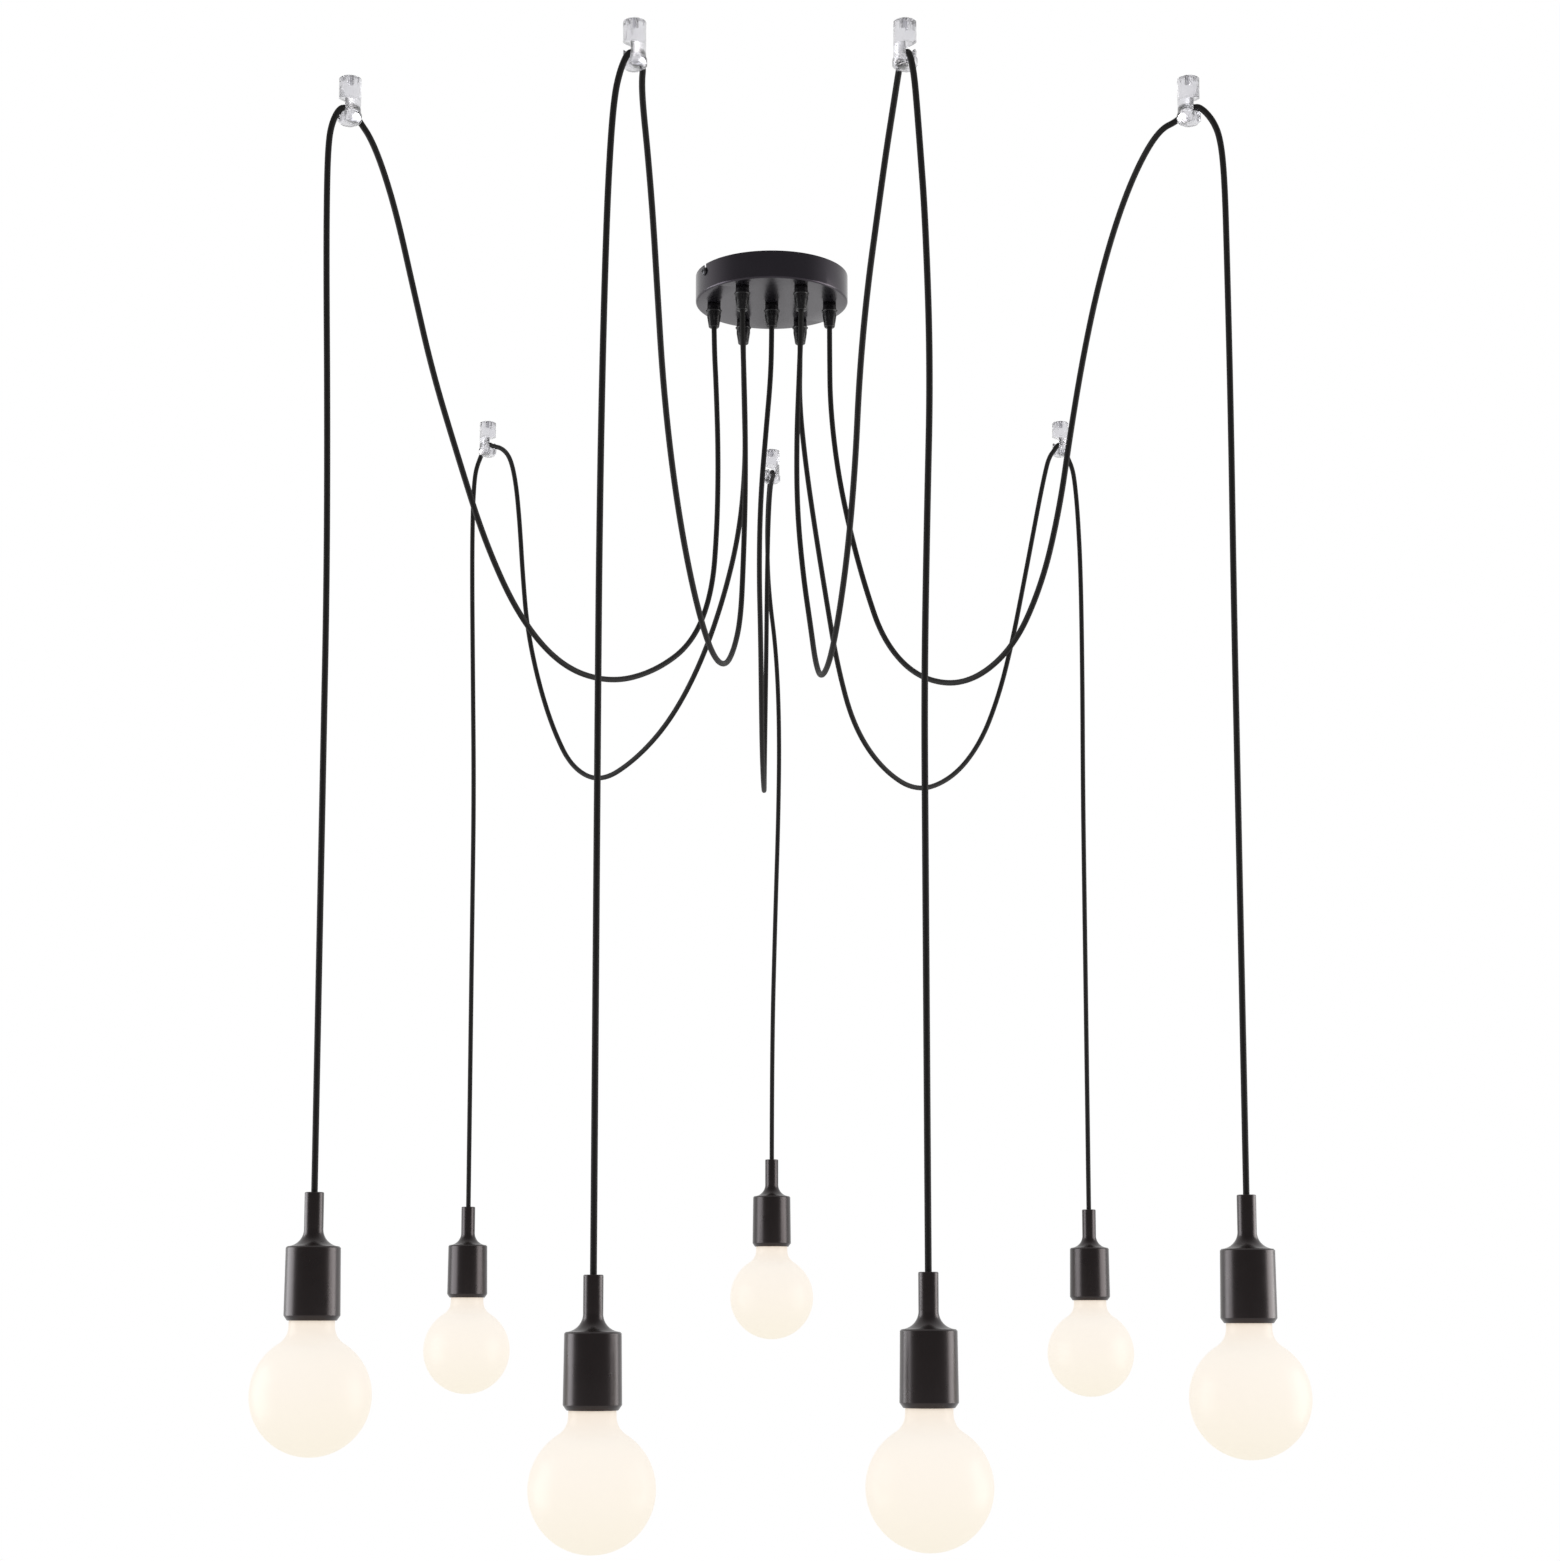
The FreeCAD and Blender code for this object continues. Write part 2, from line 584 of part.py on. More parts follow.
def gland_body():
    """Thread, body and flared flange over a spigot, with a stepped bore for the cord."""
    seat = -CANOPY_HEIGHT
    body = turned(
        (0, GLAND_TOP_Z),
        (GLAND_THREAD_R, GLAND_TOP_Z),
        (GLAND_THREAD_R, seat),
        (GLAND_BODY_R, seat),
        (GLAND_BODY_R, seat - 3.5),
        (GLAND_FLANGE_R, GLAND_FLANGE_Z + 1.4),
        (GLAND_FLANGE_R, GLAND_FLANGE_Z),
        (GLAND_SPIGOT_R, GLAND_FLANGE_Z),
        (GLAND_SPIGOT_R, GLAND_SPIGOT_Z),
        (0, GLAND_SPIGOT_Z),
    )
    lug_start, lug_z = GLAND_FLANGE_R * 0.9, GLAND_FLANGE_Z + 1.2
    body = body.fuse(
        [
            Part.makeCylinder(GLAND_LUG_R, 1.3, V(side * lug_start, 0, lug_z), V(side, 0, 0))
            for side in (1, -1)
        ]
    )
    bore = cylinder(CORD_BORE_R, GLAND_SPIGOT_Z - 1, CORD_START_Z)
    return body.cut([bore, cylinder(CORE_BORE_R, CORD_START_Z - 1, GLAND_TOP_Z + 1)])


def gland_cap():
    """A tapered cap with lengthwise slots, which closes to the cord's size at its tip."""
    top, tip = GLAND_FLANGE_Z - 0.2, GLAND_TIP_Z
    cap = turned(
        (GLAND_SPIGOT_R + 0.1, top),
        (GLAND_CAP_TOP_R, top),
        (GLAND_CAP_TOP_R, top - 4),
        (GLAND_CAP_TIP_R, tip + 1.6),
        ((GLAND_CAP_TIP_R - 0.5, tip + 0.45), (GLAND_CAP_TIP_R - 1.6, tip)),
        (CORD_BORE_R, tip),
        (CORD_BORE_R, GLAND_SPIGOT_Z - 2.5),
        (GLAND_SPIGOT_R + 0.1, GLAND_SPIGOT_Z - 0.6),
    )
    slot = block(GLAND_CAP_TIP_R + 0.35, 12, -0.6, 0.6, tip - 1, top - 1.5)
    return cap.cut([rotated(slot, 360 / GLAND_SLOTS * i + 30) for i in range(GLAND_SLOTS)])


def build_glands():
    """Seven cord grips: body, cap and the nut inside the canopy."""
    nut_low = -CANOPY_HEIGHT + CANOPY_WALL
    nut = hexagon(NUT_FLATS, nut_low, nut_low + NUT_HEIGHT)
    nut = nut.cut(cylinder(GLAND_THREAD_R + 0.05, nut_low - 1, nut_low + NUT_HEIGHT + 1))
    pieces = {"gland_bodies": gland_body(), "gland_caps": gland_cap(), "gland_nuts": nut}
    for node, piece in pieces.items():
        save(node, *[moved(piece, x, y) for x, y in gland_places().values()])


# ---------------------------------------------------------------- ceiling hooks


def hook():
    """A clear hook about its own axis. The cord runs through it along X."""
    barrel = turned(
        (0, 0), (HOOK_R - 0.4, 0), (HOOK_R, -0.4), (HOOK_R, HOOK_FOOT_TOP),
        (HOOK_FOOT_R - 0.5, HOOK_FOOT_TOP), (HOOK_FOOT_R, HOOK_FOOT_TOP - 0.5),
        (HOOK_FOOT_R, -HOOK_HEIGHT + HOOK_EDGE), (HOOK_FOOT_R - HOOK_EDGE, -HOOK_HEIGHT),
        (0, -HOOK_HEIGHT),
    )
    far = HOOK_FOOT_R + 2
    throat = pushed_along_x(
        (NECK_Y, SADDLE_TOP),
        [(NECK_Y, ROOF_Z), (far, ROOF_EDGE_Z), (far, LIP_TOP), (LIP_Y + 0.8, LIP_TOP), (LIP_Y, SADDLE_TOP)],
        -far, far,
    )
    # what lies outside the saddle's round top, so that both legs of the cord can hang down
    legs = block(-far, far, NECK_Y, LIP_Y, -HOOK_HEIGHT - 1, SADDLE_TOP)
    saddle_z = SADDLE_TOP - SADDLE_R
    width = LIP_Y - NECK_Y
    saddle = Part.makeCylinder(SADDLE_R, width, V(0, NECK_Y, saddle_z), V(0, 1, 0))
    post = block(-SADDLE_R, SADDLE_R, NECK_Y, LIP_Y, -HOOK_HEIGHT - 1, saddle_z)
    tools = [throat, legs.cut([saddle, post]), cylinder(HOOK_BORE_R, -HOOK_BORE_DEPTH, 1)]
    groove = block(
        HOOK_R - HOOK_GROOVE_DEPTH, HOOK_R + 1, -HOOK_GROOVE_W / 2, HOOK_GROOVE_W / 2,
        -HOOK_GROOVE_H, 1,
    )
    tools += [rotated(groove, 360 / HOOK_GROOVES * i) for i in range(HOOK_GROOVES)]
    return barrel.cut(tools)


def build_hooks():
    """A hook under the ceiling where each loop turns over, its throat along the cord."""
    shape = hook()
    for name in LAMPS:
        enter, leave = V(*LOOPS[name][-3]), V(*LOOPS[name][-2])
        along = leave - enter
        piece = shape if LAMPS[name][1] > 0 else shape.mirror(ORIGIN, V(0, 1, 0))
        centre = (enter + leave) * 0.5
        turn = math.degrees(math.atan2(along.y, along.x))
        save(f"ceiling_hook_{name}", moved(rotated(piece, turn), centre.x, centre.y))


# ---------------------------------------------------------------- lamp holders and bulbs


def holder_sleeve():
    """A soft sleeve, its top at Z = 0: straight stem, hollow flare, crisp shoulder, body."""
    low = -SLEEVE_LENGTH
    flare_low = -SHOULDER_DROP + 1.2
    flare = (STEM_R + 2.2, -STEM_LENGTH - 8.6)
    cavity_top = -SLEEVE_LENGTH + SLEEVE_BORE_LENGTH
    sleeve = turned(
        (CORD_BORE_R, 0),
        (STEM_R - 0.5, 0),
        (STEM_R, -0.5),
        (STEM_R, -STEM_LENGTH),
        (flare, (SHOULDER_R - 1.2, flare_low)),
        (SHOULDER_R, -SHOULDER_DROP),
        (SLEEVE_R, low + SLEEVE_CHAMFER),
        (SLEEVE_MOUTH_R, low),
        (SLEEVE_BORE_R, low),
        (SLEEVE_BORE_R, cavity_top),
        (CORD_BORE_R, cavity_top),
    )
    return sleeve


def lamp_socket():
    """The insert that the bulb screws into, with a contact at the end of its bore."""
    top, low = -SOCKET_TOP, -SOCKET_TOP - SOCKET_HEIGHT
    bore_top = low + SOCKET_BORE_DEPTH
    return turned(
        (0, top),
        (SOCKET_R - 0.8, top),
        (SOCKET_R, top - 0.8),
        (SOCKET_R, low),
        (SOCKET_BORE_R, low),
        (SOCKET_BORE_R, bore_top),
        (CONTACT_R, bore_top),
        (CONTACT_R, bore_top - CONTACT_H),
        (0, bore_top - CONTACT_H),
    )


def globe_profile(globe_r, neck_r, neck_top, cap_r):
    """Steps of a bulb's outline from its neck down round the globe to the pole."""
    # the fillet's centre stands beside the neck, and the fillet touches the globe from outside
    fillet_x = neck_r + NECK_FILLET_R
    rise = math.sqrt((globe_r + NECK_FILLET_R) ** 2 - fillet_x**2)
    fillet_z = rise - GLOBE_CENTRE
    touch = math.atan2(rise, fillet_x)
    touch_point = (globe_r * math.cos(touch), globe_r * math.sin(touch) - GLOBE_CENTRE)
    half = math.radians(180) + touch / 2
    fillet_middle = (
        fillet_x + NECK_FILLET_R * math.cos(half),
        fillet_z + NECK_FILLET_R * math.sin(half),
    )
    equator = (globe_r, -GLOBE_CENTRE)
    low = math.radians(-45)
    low_middle = (globe_r * math.cos(low), globe_r * math.sin(low) - GLOBE_CENTRE)
    above = math.radians(math.degrees(touch) / 2)
    high_middle = (globe_r * math.cos(above), globe_r * math.sin(above) - GLOBE_CENTRE)
    return [
        (cap_r, neck_top + 6.5),
        (cap_r, neck_top + 1.2),
        (neck_r - 2.0, neck_top),
        (neck_r, neck_top - 2.0),
        (neck_r, fillet_z),
        (fillet_middle, touch_point),
        (high_middle, equator),
        (low_middle, (0, -GLOBE_CENTRE - globe_r)),
    ]


def bulb_globe():
    """The opal glass, a shell open at the top of its neck, above and below the rim at Z = 0."""
    outer = globe_profile(GLOBE_R, NECK_R, NECK_TOP, CAP_INNER_R)
    inner = globe_profile(
        GLOBE_R - GLOBE_WALL, NECK_R - GLOBE_WALL, NECK_TOP - GLOBE_WALL, CAP_INNER_R - GLOBE_WALL
    )
    top = outer[0][1]
    solid = turned((0, top), *outer)
    hollow = turned((0, top + 1), (CAP_INNER_R - GLOBE_WALL, top + 1), *inner[1:])
    return solid.cut(hollow)


def bulb_cap():
    """The screw cap: an open skirt round the glass, a plain shell, a cone and a contact."""
    skirt, shell_top = CAP_SKIRT_Z, CAP_SKIRT_Z + CAP_SHELL
    top = CAP_SKIRT_Z + CAP_LENGTH
    return turned(
        (CAP_INNER_R + 0.05, skirt),
        (CAP_R + 0.3, skirt),
        (CAP_R + 0.3, skirt + 1.0),
        (CAP_R, skirt + 1.4),
        (CAP_R, shell_top),
        (CAP_R - 2.2, shell_top + 2.4),
        (CAP_TIP_R + 1.5, top - 2.2),
        (CAP_TIP_R, top - 1.6),
        (CAP_TIP_R - 1.4, top),
        (0, top),
        (0, skirt + 5.6),
        (CAP_INNER_R + 0.05, skirt + 5.6),
    )


def build_lamps():
    """Sleeve, socket, globe and cap of every lamp, hung where its drop ends."""
    from_top = {"holder_sleeve": holder_sleeve(), "lamp_socket": lamp_socket()}
    from_rim = {"bulb_globe": bulb_globe(), "bulb_cap": bulb_cap()}
    for name, (_, _, x, y, top) in LAMPS.items():
        for node, shape in from_top.items():
            save(f"{node}_{name}", moved(shape, x, y, top))
        for node, shape in from_rim.items():
            save(f"{node}_{name}", moved(shape, x, y, top - SLEEVE_LENGTH))


os.makedirs("parts", exist_ok=True)
build_canopy()
build_bracket()
build_side_screws()
build_earth_screw()
build_terminal_strip()
build_core_wires()
build_glands()
build_hooks()
build_cords()
build_lamps()
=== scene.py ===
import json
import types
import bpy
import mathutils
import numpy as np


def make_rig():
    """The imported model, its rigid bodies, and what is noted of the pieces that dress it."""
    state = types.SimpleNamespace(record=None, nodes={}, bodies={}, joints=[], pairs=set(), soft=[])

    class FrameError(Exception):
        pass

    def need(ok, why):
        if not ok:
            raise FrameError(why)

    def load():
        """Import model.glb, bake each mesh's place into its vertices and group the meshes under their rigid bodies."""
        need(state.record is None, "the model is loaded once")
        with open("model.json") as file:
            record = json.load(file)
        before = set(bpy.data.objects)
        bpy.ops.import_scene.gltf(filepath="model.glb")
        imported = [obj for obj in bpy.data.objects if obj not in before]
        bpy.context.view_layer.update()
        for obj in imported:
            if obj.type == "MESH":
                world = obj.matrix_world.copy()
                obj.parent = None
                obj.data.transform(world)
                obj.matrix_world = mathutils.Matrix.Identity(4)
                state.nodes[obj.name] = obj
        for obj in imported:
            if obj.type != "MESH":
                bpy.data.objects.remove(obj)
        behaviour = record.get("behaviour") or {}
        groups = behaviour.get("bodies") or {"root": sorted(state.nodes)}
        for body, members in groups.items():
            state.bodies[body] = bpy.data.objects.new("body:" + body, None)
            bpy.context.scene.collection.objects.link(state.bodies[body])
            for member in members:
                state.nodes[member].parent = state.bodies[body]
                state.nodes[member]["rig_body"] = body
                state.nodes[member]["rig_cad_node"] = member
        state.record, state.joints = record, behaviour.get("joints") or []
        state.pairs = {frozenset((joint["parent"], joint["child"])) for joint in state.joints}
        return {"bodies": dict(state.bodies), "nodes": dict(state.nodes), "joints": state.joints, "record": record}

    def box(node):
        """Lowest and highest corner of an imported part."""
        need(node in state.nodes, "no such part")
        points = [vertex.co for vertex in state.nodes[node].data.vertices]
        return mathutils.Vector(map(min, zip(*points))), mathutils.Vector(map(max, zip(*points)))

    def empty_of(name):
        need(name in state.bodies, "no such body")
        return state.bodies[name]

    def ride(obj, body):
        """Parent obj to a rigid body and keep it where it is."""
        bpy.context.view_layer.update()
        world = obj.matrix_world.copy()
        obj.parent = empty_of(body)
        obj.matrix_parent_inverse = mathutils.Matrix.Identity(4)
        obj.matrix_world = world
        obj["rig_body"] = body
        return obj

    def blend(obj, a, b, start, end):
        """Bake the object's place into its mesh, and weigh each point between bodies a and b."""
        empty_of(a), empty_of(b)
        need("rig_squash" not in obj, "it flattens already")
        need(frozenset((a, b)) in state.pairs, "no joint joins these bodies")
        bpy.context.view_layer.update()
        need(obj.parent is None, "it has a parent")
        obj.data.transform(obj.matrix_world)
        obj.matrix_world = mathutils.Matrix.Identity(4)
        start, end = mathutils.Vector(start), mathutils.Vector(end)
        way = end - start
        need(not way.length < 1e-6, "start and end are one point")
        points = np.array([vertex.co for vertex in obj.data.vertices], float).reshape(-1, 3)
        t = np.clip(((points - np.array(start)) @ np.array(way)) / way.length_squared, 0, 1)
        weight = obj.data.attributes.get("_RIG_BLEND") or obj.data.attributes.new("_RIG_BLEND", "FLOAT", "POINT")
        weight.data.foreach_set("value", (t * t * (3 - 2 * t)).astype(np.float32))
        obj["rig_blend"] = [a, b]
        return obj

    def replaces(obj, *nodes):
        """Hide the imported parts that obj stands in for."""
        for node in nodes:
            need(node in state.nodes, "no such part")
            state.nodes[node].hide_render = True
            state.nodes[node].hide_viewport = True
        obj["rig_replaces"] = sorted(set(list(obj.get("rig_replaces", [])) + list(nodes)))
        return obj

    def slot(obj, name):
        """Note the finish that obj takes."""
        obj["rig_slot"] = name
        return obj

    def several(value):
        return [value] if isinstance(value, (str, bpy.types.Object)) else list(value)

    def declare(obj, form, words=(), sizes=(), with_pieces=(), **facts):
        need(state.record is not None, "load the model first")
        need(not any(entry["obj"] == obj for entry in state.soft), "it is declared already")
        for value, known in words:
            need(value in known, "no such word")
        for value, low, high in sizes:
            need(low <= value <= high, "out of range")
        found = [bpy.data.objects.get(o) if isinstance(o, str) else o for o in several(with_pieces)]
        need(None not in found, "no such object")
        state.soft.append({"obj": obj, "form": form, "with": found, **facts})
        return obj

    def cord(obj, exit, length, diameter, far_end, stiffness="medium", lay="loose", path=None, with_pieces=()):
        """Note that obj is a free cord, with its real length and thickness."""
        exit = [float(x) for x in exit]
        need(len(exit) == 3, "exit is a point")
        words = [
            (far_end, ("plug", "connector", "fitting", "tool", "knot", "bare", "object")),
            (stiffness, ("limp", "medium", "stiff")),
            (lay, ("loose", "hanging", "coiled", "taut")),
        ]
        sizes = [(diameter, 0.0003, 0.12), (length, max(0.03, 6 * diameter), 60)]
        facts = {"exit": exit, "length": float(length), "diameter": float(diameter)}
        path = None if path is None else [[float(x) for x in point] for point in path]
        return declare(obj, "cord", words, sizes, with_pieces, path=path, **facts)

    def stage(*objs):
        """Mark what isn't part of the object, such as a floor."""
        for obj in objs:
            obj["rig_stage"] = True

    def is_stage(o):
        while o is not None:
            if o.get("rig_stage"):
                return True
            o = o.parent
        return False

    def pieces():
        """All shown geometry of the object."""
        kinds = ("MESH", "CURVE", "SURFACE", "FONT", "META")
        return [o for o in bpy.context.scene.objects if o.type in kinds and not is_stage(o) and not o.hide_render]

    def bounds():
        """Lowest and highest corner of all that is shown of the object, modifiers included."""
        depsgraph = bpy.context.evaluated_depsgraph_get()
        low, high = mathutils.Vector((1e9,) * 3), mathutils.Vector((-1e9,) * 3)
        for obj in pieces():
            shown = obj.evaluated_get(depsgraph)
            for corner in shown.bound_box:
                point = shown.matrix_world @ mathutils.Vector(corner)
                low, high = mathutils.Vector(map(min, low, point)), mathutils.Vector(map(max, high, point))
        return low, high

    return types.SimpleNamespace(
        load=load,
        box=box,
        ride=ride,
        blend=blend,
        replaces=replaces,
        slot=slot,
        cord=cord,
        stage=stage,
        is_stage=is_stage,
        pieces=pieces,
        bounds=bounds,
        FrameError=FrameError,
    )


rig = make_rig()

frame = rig.load()

import json
import math

import bmesh
import bpy
from mathutils import Matrix, Vector

# Seven-lamp cluster pendant: the looks of its canopy, cords, clear hooks, silicone holders and
# opal globes. Metres, in the frame of the model: the ceiling is Z = 0 and +Y points away from the
# viewer. Lengths that end in _MM are in millimetres.

CAD_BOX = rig.bounds()
MM = 0.001
MERGE_DISTANCE = 1e-6
FULL_TURN = 2 * math.pi
FILLET_STEPS = 4
BRACKET_TURN_DEGREES = 29.5  # how far the bracket and its terminal strip are turned in plan
LAMPS = (
    "outer_left", "front_left", "front_right", "outer_right",
    "back_left", "back_right", "back_centre",
)

# ---- cords
CORD_RADIUS_MM = 2.6
CORD_SIDES = 14
STRANDS_AROUND = 12
STRANDS_PER_METRE = 620
BEND_REACH_MM = 250.0  # how far below its hook a cord still bends when its lamp swings

# The routes of the cords' centre lines in metres, from each cord grip over the hook.
LOOPS = {
    "outer_left": [
        (-0.057, 0, -0.024), (-0.057, 0, -0.064), (-0.0545, 0.0045, -0.114),
        (-0.0525, 0.008, -0.182), (-0.0535, 0.007, -0.252), (-0.058, -0.003, -0.320),
        (-0.076, -0.033, -0.377), (-0.110, -0.088, -0.417), (-0.148, -0.148, -0.441),
        (-0.188, -0.212, -0.441), (-0.222, -0.267, -0.409), (-0.249, -0.310, -0.352),
        (-0.270, -0.343, -0.285), (-0.289, -0.374, -0.221), (-0.303, -0.397, -0.158),
        (-0.315, -0.418, -0.102), (-0.325, -0.437, -0.067), (-0.334, -0.453, -0.045),
        (-0.3432, -0.4592, -0.0326), (-0.3471, -0.4644, -0.026), (-0.3525, -0.4716, -0.026),
        (-0.3573, -0.478, -0.030),
    ],
    "front_left": [
        (-0.0285, -0.0494, -0.024), (-0.0285, -0.0494, -0.064), (-0.027, -0.0475, -0.112),
        (-0.0255, -0.044, -0.170), (-0.0255, -0.041, -0.236), (-0.0273, -0.045, -0.302),
        (-0.0295, -0.070, -0.363), (-0.0355, -0.120, -0.405), (-0.0425, -0.184, -0.434),
        (-0.052, -0.256, -0.441), (-0.063, -0.323, -0.418), (-0.074, -0.376, -0.373),
        (-0.083, -0.420, -0.318), (-0.0895, -0.458, -0.256), (-0.0928, -0.493, -0.195),
        (-0.096, -0.517, -0.137), (-0.0998, -0.535, -0.090), (-0.103, -0.5505, -0.059),
        (-0.1036, -0.5605, -0.0425), (-0.1021, -0.5672, -0.0326), (-0.106, -0.5724, -0.026),
        (-0.1114, -0.5796, -0.026), (-0.1153, -0.5848, -0.0326),
    ],
    "front_right": [
        (0.0285, -0.0494, -0.024), (0.0285, -0.0494, -0.066), (0.0265, -0.048, -0.118),
        (0.024, -0.0435, -0.180), (0.0245, -0.041, -0.248), (0.030, -0.048, -0.313),
        (0.037, -0.078, -0.373), (0.0405, -0.130, -0.418), (0.0445, -0.196, -0.448),
        (0.051, -0.268, -0.449), (0.058, -0.333, -0.421), (0.0645, -0.385, -0.376),
        (0.0695, -0.426, -0.316), (0.072, -0.462, -0.252), (0.0775, -0.493, -0.192),
        (0.0855, -0.516, -0.135), (0.092, -0.533, -0.090), (0.097, -0.547, -0.060),
        (0.100, -0.558, -0.042), (0.1017, -0.5657, -0.0326), (0.104, -0.5718, -0.026),
        (0.1072, -0.5802, -0.026), (0.1095, -0.5863, -0.0326),
    ],
    "outer_right": [
        (0.057, 0, -0.024), (0.057, 0, -0.076), (0.0575, -0.001, -0.132),
        (0.064, -0.011, -0.198), (0.075, -0.029, -0.262), (0.089, -0.051, -0.325),
        (0.106, -0.080, -0.387), (0.136, -0.128, -0.433), (0.176, -0.191, -0.453),
        (0.213, -0.251, -0.434), (0.236, -0.291, -0.385), (0.250, -0.313, -0.323),
        (0.259, -0.327, -0.258), (0.269, -0.344, -0.196), (0.2805, -0.363, -0.140),
        (0.294, -0.390, -0.092), (0.308, -0.422, -0.058), (0.323, -0.451, -0.037),
        (0.3384, -0.4588, -0.032), (0.3429, -0.4645, -0.026), (0.3485, -0.4716, -0.026),
        (0.3542, -0.4784, -0.0288),
    ],
    "back_left": [
        (-0.0285, 0.0494, -0.024), (-0.0285, 0.0494, -0.066), (-0.0275, 0.048, -0.112),
        (-0.026, 0.046, -0.174), (-0.032, 0.055, -0.243), (-0.049, 0.079, -0.308),
        (-0.073, 0.113, -0.367), (-0.104, 0.157, -0.414), (-0.141, 0.208, -0.444),
        (-0.181, 0.264, -0.458), (-0.215, 0.313, -0.433), (-0.238, 0.346, -0.384),
        (-0.257, 0.373, -0.325), (-0.2715, 0.393, -0.260), (-0.278, 0.403, -0.196),
        (-0.2825, 0.409, -0.136), (-0.288, 0.418, -0.087), (-0.296, 0.434, -0.053),
        (-0.3075, 0.454, -0.0355), (-0.3196, 0.4649, -0.030), (-0.3232, 0.4705, -0.026),
        (-0.3288, 0.4775, -0.026), (-0.3334, 0.4834, -0.0332),
    ],
    "back_right": [
        (0.0285, 0.0494, -0.024), (0.0285, 0.0494, -0.066), (0.0275, 0.048, -0.112),
        (0.034, 0.057, -0.174), (0.044, 0.071, -0.240), (0.055, 0.087, -0.305),
        (0.066, 0.102, -0.368), (0.083, 0.126, -0.426), (0.113, 0.168, -0.462),
        (0.152, 0.223, -0.476), (0.193, 0.281, -0.450), (0.226, 0.328, -0.403),
        (0.249, 0.360, -0.343), (0.266, 0.384, -0.278), (0.2795, 0.404, -0.215),
        (0.292, 0.422, -0.155), (0.3025, 0.437, -0.104), (0.3105, 0.4495, -0.068),
        (0.3165, 0.459, -0.045), (0.3248, 0.4652, -0.0326), (0.3287, 0.4704, -0.026),
        (0.3341, 0.4776, -0.026), (0.3383, 0.4832, -0.033),
    ],
    "back_centre": [
        (0, 0, -0.024), (0, 0, -0.060), (-0.001, -0.001, -0.102), (-0.0055, -0.003, -0.156),
        (-0.011, -0.001, -0.224), (-0.0125, 0.020, -0.290), (-0.011, 0.056, -0.350),
        (-0.0105, 0.107, -0.400), (-0.010, 0.168, -0.438), (-0.009, 0.236, -0.461),
        (-0.008, 0.308, -0.463), (-0.008, 0.371, -0.431), (-0.0075, 0.417, -0.380),
        (-0.0068, 0.450, -0.320), (-0.006, 0.474, -0.254), (-0.0055, 0.490, -0.190),
        (-0.0045, 0.502, -0.130), (-0.003, 0.519, -0.084), (-0.0012, 0.541, -0.054),
        (0.0008, 0.561, -0.039), (0.0022, 0.5722, -0.0326), (0.0009, 0.5786, -0.026),
        (-0.0009, 0.5874, -0.026), (-0.0022, 0.5938, -0.0326),
    ],
}

# The rest of each cord, from just below its hook to its lamp holder.
DROPS = {
    "outer_left": [
        (-0.3624, -0.4826, -0.045), (-0.3644, -0.4844, -0.063), (-0.3649, -0.4844, -0.099),
        (-0.3642, -0.4832, -0.167), (-0.3612, -0.4816, -0.290), (-0.359, -0.481, -0.430),
        (-0.359, -0.481, -0.975),
    ],
    "front_left": [
        (-0.1199, -0.588, -0.0476), (-0.1234, -0.5892, -0.0655), (-0.1263, -0.5896, -0.101),
        (-0.1292, -0.5894, -0.170), (-0.1318, -0.5886, -0.300), (-0.133, -0.588, -0.440),
        (-0.133, -0.588, -1.041),
    ],
    "front_right": [
        (0.1118, -0.5902, -0.049), (0.1133, -0.5918, -0.067), (0.1156, -0.593, -0.102),
        (0.120, -0.5938, -0.172), (0.123, -0.594, -0.290), (0.1195, -0.5942, -0.410),
        (0.1165, -0.594, -0.540), (0.1165, -0.594, -1.039),
    ],
    "outer_right": [
        (0.3636, -0.4822, -0.042), (0.3692, -0.4832, -0.0585), (0.3719, -0.4826, -0.092),
        (0.3728, -0.481, -0.160), (0.3734, -0.4802, -0.295), (0.3727, -0.480, -0.440),
        (0.3727, -0.480, -0.977),
    ],
    "back_left": [
        (-0.3402, 0.4873, -0.0495), (-0.3424, 0.488, -0.067), (-0.3435, 0.4868, -0.102),
        (-0.343, 0.484, -0.172), (-0.3401, 0.4806, -0.295), (-0.337, 0.479, -0.430),
        (-0.337, 0.479, -0.950),
    ],
    "back_right": [
        (0.346, 0.4868, -0.0492), (0.3488, 0.4876, -0.067), (0.3514, 0.4865, -0.102),
        (0.3537, 0.484, -0.172), (0.3536, 0.4808, -0.295), (0.3522, 0.479, -0.430),
        (0.3522, 0.479, -0.953),
    ],
    "back_centre": [
        (-0.0036, 0.5978, -0.049), (-0.0047, 0.5996, -0.0668), (-0.0056, 0.6008, -0.102),
        (-0.0038, 0.601, -0.165), (0.0055, 0.6008, -0.240), (0.009, 0.6005, -0.330),
        (0.008, 0.6002, -0.430), (0.004, 0.600, -0.560), (0, 0.600, -0.720), (0, 0.600, -0.891),
    ],
}

# The photograph's view: a long lens a little above the lamps' height, looking slightly up
VIEW_PLACE = (0, -2.7889, -1.0213)
VIEW_UP_DEGREES = 7.446
LENS_MM = 67.60
SENSOR_MM = 36.0
SHIFT_ACROSS = 0.0053
SHIFT_UP = 0.10
NEAREST, FURTHEST = 0.05, 60

